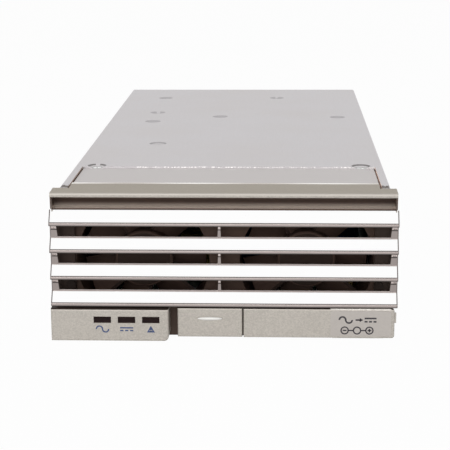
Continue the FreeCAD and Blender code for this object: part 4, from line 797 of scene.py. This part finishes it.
def copy_to(shape, places):
    """Copies of a finished shape at other places; the first one is taken away."""
    first = [*shape.verts, *shape.edges, *shape.faces]
    for place in places:
        made = bmesh.ops.duplicate(shape, geom=first)["geom"]
        bmesh.ops.transform(shape, matrix=place, verts=verts_of(made))
    bmesh.ops.delete(shape, geom=verts_of(first), context="VERTS")


def flat_bar(shape, x, z, width, height):
    """A printed bar on an upright face, before it is set at its depth."""
    verts = bmesh.ops.create_grid(shape, x_segments=1, y_segments=1, size=0.5)["verts"]
    bmesh.ops.scale(shape, vec=(width, height, 1.0), verts=verts)
    bmesh.ops.translate(shape, vec=(x, z, 0.0), verts=verts)


# Steps of a printed arc for each radian that it turns
ARC_STEPS = 6


def flat_arc(shape, x, z, radius, stroke, start, angle):
    """A printed arc that starts at an angle from the x axis."""
    inner = shape.verts.new((radius - stroke / 2, 0.0, 0.0))
    outer = shape.verts.new((radius + stroke / 2, 0.0, 0.0))
    edge = shape.edges.new((inner, outer))
    bmesh.ops.rotate(shape, verts=[inner, outer], matrix=Matrix.Rotation(start, 3, "Z"))
    bmesh.ops.translate(shape, vec=(x, z, 0.0), verts=[inner, outer])
    bmesh.ops.spin(shape, geom=[inner, outer, edge], cent=(x, z, 0.0), axis=(0, 0, 1), angle=angle,
                   steps=int(abs(angle) * ARC_STEPS), use_merge=math.isclose(abs(angle), 2 * math.pi))


def wave_mark(shape, x, z, width, stroke):
    """One wave, for alternating current."""
    radius = width / 4
    flat_arc(shape, x - radius, z, radius, stroke, 0.0, math.pi)
    flat_arc(shape, x + radius, z, radius, stroke, math.pi, math.pi)


def direct_mark(shape, x, z, width, stroke):
    """A line over three dashes, for direct current."""
    dash = width / 4
    flat_bar(shape, x, z + stroke, width, stroke)
    for step in (-1, 0, 1):
        flat_bar(shape, x + step * dash * 1.5, z - stroke, dash, stroke)


def alert_mark(shape, x, z, width, stroke):
    """A triangle round a stroke and a dot, for an alarm."""
    size, drop, bar = width * 0.58, width * 0.12, width * 0.24
    rings = []
    for radius in (size, size - 2 * stroke):
        corners = bmesh.ops.create_circle(shape, segments=3, radius=radius)["verts"]
        turn = Matrix.Rotation(math.pi / 2 - math.atan2(corners[0].co.y, corners[0].co.x), 3, "Z")
        bmesh.ops.rotate(shape, verts=corners, matrix=turn)
        bmesh.ops.translate(shape, vec=(x, z - drop, 0.0), verts=corners)
        rings += {edge for corner in corners for edge in corner.link_edges}
    bmesh.ops.bridge_loops(shape, edges=rings)
    flat_bar(shape, x, z, stroke, bar)
    flat_bar(shape, x, z - bar, stroke, stroke)


def set_upright(shape, depth, thickness):
    """Stand a flat print up on a face at a depth, with a little thickness towards the front."""
    bmesh.ops.remove_doubles(shape, verts=shape.verts, dist=WELD)
    bmesh.ops.recalc_face_normals(shape, faces=shape.faces)
    bmesh.ops.rotate(shape, verts=shape.verts, matrix=Matrix.Rotation(math.pi / 2, 3, "X"))
    bmesh.ops.translate(shape, vec=(0.0, depth, 0.0), verts=shape.verts)
    grown = bmesh.ops.extrude_face_region(shape, geom=list(shape.faces))["geom"]
    bmesh.ops.translate(shape, vec=(0.0, -thickness, 0.0), verts=verts_of(grown))


# Marks and the lever's label: thicknesses, edges and the sizes of the signs

INK = 0.01 * MM
FILM = 0.05 * MM
FOLD_FILM = 0.04 * MM
LEVER_END = 0.7 * MM
LABEL_MARGIN = 0.9 * MM
LABEL_CORNER = 0.8 * MM
TOP_ROUND = 0.6 * MM
FOLD_LIFT = 0.18 * MM
CREASE_DEPTH = 0.14 * MM
CREASES_ACROSS = 46
CREASES_ALONG = 3.0
SIGNS_MIDDLE = 11.2 * MM
CONVERSION_HEIGHT = 10.2 * MM
POLARITY_HEIGHT = 5.6 * MM
CONVERSION_STROKE = 0.72 * MM
POLARITY_STROKE = CONVERSION_STROKE * 0.8
WINDOW_MARKS = {
    "input_lens": (wave_mark, 5.2 * MM),
    "output_lens": (direct_mark, 5.6 * MM),
    "alarm_lens": (alert_mark, 3.4 * MM),
}


def flat_label(left, right):
    """Clear film with rounded corners on the front of the lever."""
    low, high = LEVER[0].z + LABEL_MARGIN, LEVER[1].z - LABEL_MARGIN
    shape = bmesh.new()
    flat_bar(shape, (left + right) / 2, (low + high) / 2, right - left, high - low)
    bmesh.ops.bevel(shape, geom=list(shape.verts), offset=LABEL_CORNER, offset_type="OFFSET", segments=4,
                    profile=0.5, affect="VERTICES", material=-1)
    set_upright(shape, FRONT, FILM)
    return shape


def folded_label(left, right, depth):
    """The label's upper end, creased as it runs back over the lever's rounded top edge."""
    shape = bmesh.new()
    bmesh.ops.create_grid(shape, x_segments=80, y_segments=12, size=0.5)
    for vertex in shape.verts:
        across, along = vertex.co.x, vertex.co.y + 0.5
        inward = depth * along
        rise = math.sqrt(TOP_ROUND ** 2 - max(0.0, TOP_ROUND - inward) ** 2) - TOP_ROUND
        wrinkle = noise.noise((across * CREASES_ACROSS, along * CREASES_ALONG, 0.0))
        crease = wrinkle * CREASE_DEPTH * min(1.0, along * 3)
        vertex.co = ((left + right) / 2 + across * (right - left), FRONT + inward,
                     LEVER[1].z + rise + crease + FOLD_LIFT)
    bmesh.ops.solidify(shape, geom=list(shape.faces), thickness=FOLD_FILM)
    return shape


def conversion_sign(shape, middle, height, stroke):
    """A wave, an arrow, and a line over dashes."""
    wave_width, arrow_width, tip_radius, dash_width = 5.4 * MM, 2.2 * MM, 1.0 * MM, 5.0 * MM
    wave_mark(shape, middle - 4.8 * MM, height, wave_width, stroke)
    flat_bar(shape, middle + 0.4 * MM, height, arrow_width, stroke)
    tip = bmesh.ops.create_circle(shape, cap_ends=True, segments=3, radius=tip_radius)["verts"]
    bmesh.ops.rotate(shape, verts=tip, matrix=Matrix.Rotation(-math.pi / 2, 3, "Z"))
    bmesh.ops.translate(shape, vec=(middle + 1.6 * MM, height, 0.0), verts=tip)
    direct_mark(shape, middle + 5.6 * MM, height, dash_width, stroke)


def polarity_sign(shape, middle, height, stroke):
    """Three rings joined by bars, with a minus in the left one and a plus in the right one."""
    pitch, radius, bar, arm = 5.2 * MM, 1.5 * MM, 2.0 * MM, 1.6 * MM
    for step in (-1, 0, 1):
        flat_arc(shape, middle + step * pitch, height, radius, stroke, 0.0, 2 * math.pi)
    for side in (-1, 1):
        flat_bar(shape, middle + side * pitch / 2, height, bar, stroke)
        flat_bar(shape, middle + side * pitch, height, arm, stroke)
    flat_bar(shape, middle + pitch, height, stroke, arm)


# Stage: sizes in metres; a soft box has a place, a width, a height and the setting of its power

WHITE = (1.0, 1.0, 1.0)
FLOOR_GREY = (0.85, 0.85, 0.85)
FLOOR_REACH = 4.0
SOFT_BOXES = {
    "key_box": ((-0.15, -1.45, 0.50), 1.1, 0.8, "key"),
    "top_box": ((0.0, 0.1, 1.5), 1.3, 1.3, "top"),
    "left_box": ((-1.3, -0.2, 0.5), 0.9, 0.7, "side"),
    "right_box": ((1.3, -0.2, 0.5), 0.9, 0.7, "side"),
}
LIGHT_AIM = Vector((0.0, -0.10, 0.05))

# Camera: place in metres, angles in radians, focal length in pixels of the square image
CAMERA_PLACE = (0.023353, FRONT - 0.563409, 0.183941)
CAMERA_PITCH = 0.231513
CAMERA_YAW = -0.0400006
CAMERA_ROLL = -0.00525258
FOCAL_PIXELS = 1395.27
IMAGE_PIXELS = 450.0
SENSOR_WIDTH = 36.0
CLIP_NEAR = 0.01
CLIP_FAR = 20.0


def seen_rays(tree):
    """1 where the camera, a reflection or a clear piece looks, 0 for the light on the object."""
    path = add_node(tree, "ShaderNodeLightPath")
    total = calculate("ADD", path.outputs["Is Camera Ray"], path.outputs["Is Glossy Ray"])
    total = calculate("ADD", total, path.outputs["Is Transmission Ray"])
    return calculate("MINIMUM", total, 1.0)


def blend_shaders(share, first, second, target):
    """Lead two shaders to an output, with a share of the second."""
    blend = add_node(target.id_data, "ShaderNodeMixShader")
    for value, socket in zip((share, first.outputs[0], second.outputs[0]), blend.inputs):
        lead(value, socket)
    lead(blend.outputs[0], target)


def add_floor(scene, settings):
    """A wide floor, white for the camera and light grey for the light on the object."""
    shape = bmesh.new()
    bmesh.ops.create_grid(shape, x_segments=1, y_segments=1, size=FLOOR_REACH)
    mesh = bpy.data.meshes.new("floor")
    shape.to_mesh(mesh)
    shape.free()
    floor = bpy.data.objects.new("floor", mesh)
    scene.collection.objects.link(floor)
    material, tree, shader = new_material("floor_white", Base_Color=FLOOR_GREY, Roughness=0.9)
    glow = add_node(tree, "ShaderNodeEmission", Color=WHITE, Strength=1.0)
    share = calculate("MULTIPLY", seen_rays(tree), settings.floor_glow)
    blend_shaders(share, shader, glow, tree.nodes["Material Output"].inputs["Surface"])
    mesh.materials.append(material)


def light_world(scene, settings):
    """A white background that lights the object only softly."""
    world = bpy.data.worlds.new("studio")
    scene.world = world
    world.use_nodes = True
    tree = world.node_tree
    tree.nodes.clear()
    soft = add_node(tree, "ShaderNodeBackground", Color=WHITE, Strength=settings.ambient)
    white = add_node(tree, "ShaderNodeBackground", Color=WHITE, Strength=1.0)
    output = add_node(tree, "ShaderNodeOutputWorld")
    blend_shaders(seen_rays(tree), soft, white, output.inputs["Surface"])


def add_soft_box(scene, name, place, width, height, power):
    """A soft box that lights the object and isn't seen by the camera."""
    lamp = bpy.data.lights.new(name, "AREA")
    lamp.shape = "RECTANGLE"
    lamp.size = width
    lamp.size_y = height
    lamp.energy = power
    box = bpy.data.objects.new(name, lamp)
    box.location = place
    box.rotation_euler = (LIGHT_AIM - Vector(place)).to_track_quat("-Z", "Y").to_euler()
    box.visible_camera = False
    scene.collection.objects.link(box)


def add_camera(scene):
    """Camera at the photographed angle: a little above and to the right of the front."""
    flat = math.cos(CAMERA_PITCH)
    forward = Vector((math.sin(CAMERA_YAW) * flat, math.cos(CAMERA_YAW) * flat, -math.sin(CAMERA_PITCH)))
    level = Vector((math.cos(CAMERA_YAW), -math.sin(CAMERA_YAW), 0.0))
    upward = level.cross(forward)
    right = level * math.cos(CAMERA_ROLL) + upward * math.sin(CAMERA_ROLL)
    up = upward * math.cos(CAMERA_ROLL) - level * math.sin(CAMERA_ROLL)
    lens = bpy.data.cameras.new("camera")
    lens.sensor_width = SENSOR_WIDTH
    lens.lens = SENSOR_WIDTH * FOCAL_PIXELS / IMAGE_PIXELS
    lens.clip_start = CLIP_NEAR
    lens.clip_end = CLIP_FAR
    camera = bpy.data.objects.new("camera", lens)
    turn = Matrix((right, up, -forward)).transposed().to_4x4()
    camera.matrix_world = Matrix.Translation(CAMERA_PLACE) @ turn
    scene.collection.objects.link(camera)
    scene.camera = camera


# Operators, one for each piece or group of like pieces

class FinishCase(bpy.types.Operator):
    """Plated sheet on cover, tray and rear panel, and the dark plate of the fans"""

    bl_idname = "power_module.finish_case"
    bl_label = "Case sheet"

    def execute(self, context):
        settings = context.scene.module_case
        dress(case_sheet(settings), "top_cover", "chassis_tray", "rear_panel")
        dress(bracket_sheet(settings), "fan_bracket")
        return {"FINISHED"}


class FinishFront(bpy.types.Operator):
    """Paint, plating and windows of the front"""

    bl_idname = "power_module.finish_front"
    bl_label = "Front"

    def execute(self, context):
        settings = context.scene.module_front
        dress(bezel_paint(settings), "indicator_panel", "release_latch", "ejector_lever")
        dress(lip_paint(settings), "front_bezel")
        dress(bright_plating(settings), "louvre_grille")
        dress(smoked_lens(settings), *WINDOWS)
        return {"FINISHED"}


class FinishMetalwork(bpy.types.Operator):
    """Bare steel, screws, brass, aluminium, gold and copper"""

    bl_idname = "power_module.finish_metalwork"
    bl_label = "Metalwork"

    def execute(self, context):
        settings = context.scene.module_case
        dress(crinkled_steel(settings), "hinge_bracket")
        coat("bare_steel", settings.steel, 0.9, 0.35, (2500, 2500, 300), "latch_keeper", "latch_spring",
             "lever_pin", "transformer_clamp", "boost_choke_clamp")
        coat("screw_steel", settings.screw, 0.75, 0.52, FINE, "board_screws", "hinge_screws", "cover_screws",
             "rear_screws")
        # The bezel screws are near black, as dark as the slots they sit in.
        coat("blackened_steel", (0.026, 0.018, 0.015), 0.0, 0.6, FINE, "bezel_screws", gloss=0.1)
        coat("spacer_brass", (0.62, 0.45, 0.20), 1.0, 0.32, (300, 300, 3000), "board_standoffs")
        coat("sink_aluminium", (0.72, 0.72, 0.73), 0.9, 0.38, (2500, 80, 2500), "heatsink_left",
             "heatsink_right", "heatsink_rear", contrast=0.14)
        coat("contact_gold", (0.83, 0.62, 0.25), 1.0, 0.25, (2500, 200, 2500), "rear_contacts")
        coat("winding_copper", (0.62, 0.27, 0.12), 0.6, 0.34, (200, 200, 2600), "transformer_winding",
             "boost_choke_winding", "filter_choke", "output_choke", contrast=0.3, depth=0.15 * MM)
        coat("bar_copper", (0.70, 0.36, 0.20), 1.0, 0.3, (2500, 150, 2500), "output_busbars")
        return {"FINISHED"}


class FinishPlastics(bpy.types.Operator):
    """Fans, boards, connectors and the bodies of the inner parts"""

    bl_idname = "power_module.finish_plastics"
    bl_label = "Plastics and boards"

    def execute(self, context):
        # Painted light: the fans' frames and rotors are a lighter brown than black plastic, to even out the
        # deep shade behind the louvre.
        coat("fan_frame_plastic", (0.070, 0.043, 0.034), 0.0, 0.6, MOULDED, "fan_frame_left",
             "fan_frame_right", "fan_rivets", contrast=0.25, depth=MOULD_RELIEF, gloss=0.1)
        dress(rotor_plastic((0.105, 0.066, 0.052)), "fan_rotor_left", "fan_rotor_right")
        coat("board_laminate", (0.03, 0.17, 0.08), 0.0, 0.4, COARSE, "main_board", "control_board",
             "indicator_board", contrast=0.2)
        coat("lamp_resin", (0.62, 0.66, 0.58), 0.0, 0.15, MOULDED, "indicator_leds", contrast=0.05)
        coat("insulator_film", (0.72, 0.71, 0.66), 0.0, 0.45, MOULDED, "insulator_sheet", contrast=0.05)
        coat("chip_resin", (0.025, 0.025, 0.028), 0.0, 0.6, MOULDED, "power_transistors", "relay",
             contrast=0.3, depth=MOULD_RELIEF)
        coat("ferrite", (0.06, 0.06, 0.065), 0.1, 0.7, COARSE, "transformer_core", "boost_choke_core",
             contrast=0.3, depth=0.05 * MM)
        coat("can_sleeve", (0.02, 0.03, 0.08), 0.0, 0.25, MOULDED, "bulk_capacitors", "output_capacitors",
             contrast=0.2)
        coat("film_box", (0.40, 0.28, 0.05), 0.0, 0.5, MOULDED, "filter_capacitors")
        coat("fuse_body", (0.74, 0.72, 0.66), 0.0, 0.3, MOULDED, "fuse", contrast=0.08)
        coat("plug_plastic", (0.03, 0.03, 0.032), 0.0, 0.5, MOULDED, "rear_connector", contrast=0.25,
             depth=MOULD_RELIEF)
        return {"FINISHED"}


class AddScrewHeads(bpy.types.Operator):
    """Cover and side screws with cross recesses, in place of the plain solids"""

    bl_idname = "power_module.add_screw_heads"
    bl_label = "Screw heads"

    def execute(self, context):
        settings = context.scene.module_case
        plated = bpy.data.materials["screw_steel"]
        boxes = solid_boxes("cover_screws")
        low, high = boxes[0]
        radius = (high.x - low.x) / 2
        shank = radius * SHANK_SHARE
        rings = [(shank, CONE_HEIGHT), (shank, high.z - low.z - CONE_HEIGHT)]
        cover = bmesh.new()
        recessed_screw(cover, radius, rings, settings.recess_depth)
        seats = [((low.x + high.x) / 2, (low.y + high.y) / 2, high.z) for low, high in boxes]
        copy_to(cover, [Matrix.Translation(seat) for seat in seats])
        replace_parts(new_piece("cover_screw_heads", cover, "case", plated), "cover_screws")

        boxes = solid_boxes("rear_screws")
        low, high = boxes[0]
        radius = (high.z - low.z) / 2
        shank = radius * SHANK_SHARE
        rings = [(radius, CROWN_HEIGHT), (radius, HEAD_HEIGHT - CROWN_HEIGHT), (shank, 0.0),
                 (shank, high.x - low.x - HEAD_HEIGHT)]
        side = bmesh.new()
        recessed_screw(side, radius * CROWN_SHARE, rings, settings.recess_depth * CROWN_SHARE)
        places = []
        for low, high in boxes:
            outward = 1 if low.x + high.x > 0 else -1
            seat = (high.x if outward > 0 else low.x, (low.y + high.y) / 2, (low.z + high.z) / 2)
            places.append(Matrix.Translation(seat) @ Matrix.Rotation(outward * math.pi / 2, 4, "Y"))
        copy_to(side, places)
        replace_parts(new_piece("rear_screw_heads", side, "case", plated), "rear_screws")
        return {"FINISHED"}


class AddLatchSpring(bpy.types.Operator):
    """Latch spring as a flat-shaded piece with a mesh of its own, in place of the CAD solid"""

    bl_idname = "power_module.add_latch_spring"
    bl_label = "Latch spring"

    def execute(self, context):
        strip = bmesh.new()
        strip.from_mesh(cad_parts["latch_spring"].data)
        for face in strip.faces:
            face.smooth = False
        steel = bpy.data.materials["bare_steel"]
        spring = new_piece("latch_spring_strip", strip, "case", steel)
        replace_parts(spring, "latch_spring")
        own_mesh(spring)
        return {"FINISHED"}


class AddMarks(bpy.types.Operator):
    """Printed symbols under the three windows"""

    bl_idname = "power_module.add_marks"
    bl_label = "Window marks"

    def execute(self, context):
        settings = context.scene.module_front
        ink = grained_finish("mark_ink", settings.mark, 0.0, 0.55, PRINTED, 0.25)
        shape = bmesh.new()
        for window, (draw, width) in WINDOW_MARKS.items():
            low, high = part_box(window)
            draw(shape, (low.x + high.x) / 2, settings.mark_rise, width, settings.stroke)
        set_upright(shape, PANEL[0].y, INK)
        new_piece("window_marks", shape, "case", ink)
        return {"FINISHED"}


class AddLeverLabel(bpy.types.Operator):
    """Clear label on the right half of the lever, with plain conversion symbols"""

    bl_idname = "power_module.add_lever_label"
    bl_label = "Lever label"

    def execute(self, context):
        settings = context.scene.module_front
        right = LEVER[1].x - LEVER_END - settings.label_inset
        left = right - settings.label_length
        film = grained_finish("label_film", (0.533, 0.493, 0.458), 0.0, 0.38, (1200, 1200, 1200))
        new_piece("lever_label", flat_label(left, right), "lever", film)

        shiny = grained_finish("label_fold", (0.47, 0.44, 0.41), 0.6, 0.27, (350, 350, 350), 0.6, 0.05 * MM)
        fold = folded_label(left, right, settings.fold_depth)
        new_piece("lever_label_fold", fold, "lever", shiny)

        ink = grained_finish("label_ink", (0.03, 0.025, 0.03), 0.0, 0.5, PRINTED, 0.3)
        marks = bmesh.new()
        conversion_sign(marks, left + SIGNS_MIDDLE, CONVERSION_HEIGHT, CONVERSION_STROKE)
        polarity_sign(marks, left + SIGNS_MIDDLE, POLARITY_HEIGHT, POLARITY_STROKE)
        set_upright(marks, FRONT - FILM, INK)
        new_piece("label_marks", marks, "lever", ink)
        return {"FINISHED"}


class BuildStage(bpy.types.Operator):
    """White floor, soft boxes and the camera"""

    bl_idname = "power_module.build_stage"
    bl_label = "Studio"

    def execute(self, context):
        settings = context.scene.module_light
        add_floor(context.scene, settings)
        light_world(context.scene, settings)
        for name, (place, width, height, power) in SOFT_BOXES.items():
            add_soft_box(context.scene, name, place, width, height, getattr(settings, power))
        add_camera(context.scene)
        context.scene.view_settings.view_transform = "Standard"
        return {"FINISHED"}


class ModulePanel(bpy.types.Panel):
    """Steps that dress the module"""

    bl_idname = "VIEW3D_PT_power_module"
    bl_label = "Power module"
    bl_space_type = "VIEW_3D"
    bl_region_type = "UI"
    bl_category = "Power module"

    def draw(self, context):
        for group in SETTINGS:
            settings = getattr(context.scene, group)
            for name in settings.bl_rna.properties.keys():
                if name not in ("rna_type", "name"):
                    self.layout.prop(settings, name)
        for operator in OPERATORS:
            self.layout.operator(operator.bl_idname)


SETTINGS = {"module_case": CaseFinish, "module_front": FrontFinish, "module_light": StudioLight}
OPERATORS = [FinishCase, FinishFront, FinishMetalwork, FinishPlastics, AddScrewHeads, AddLatchSpring,
             AddMarks, AddLeverLabel, BuildStage]


def register():
    for kind in [*SETTINGS.values(), *OPERATORS, ModulePanel]:
        bpy.utils.register_class(kind)
    for name, kind in SETTINGS.items():
        setattr(bpy.types.Scene, name, PointerProperty(type=kind))


def unregister():
    for name in SETTINGS:
        delattr(bpy.types.Scene, name)
    for kind in reversed([*SETTINGS.values(), *OPERATORS, ModulePanel]):
        bpy.utils.unregister_class(kind)


def main():
    register()
    bpy.ops.power_module.finish_case()
    bpy.ops.power_module.finish_front()
    bpy.ops.power_module.finish_metalwork()
    bpy.ops.power_module.finish_plastics()
    bpy.ops.power_module.add_screw_heads()
    bpy.ops.power_module.add_latch_spring()
    bpy.ops.power_module.add_marks()
    bpy.ops.power_module.add_lever_label()
    bpy.ops.power_module.build_stage()


if __name__ == "__main__":
    main()
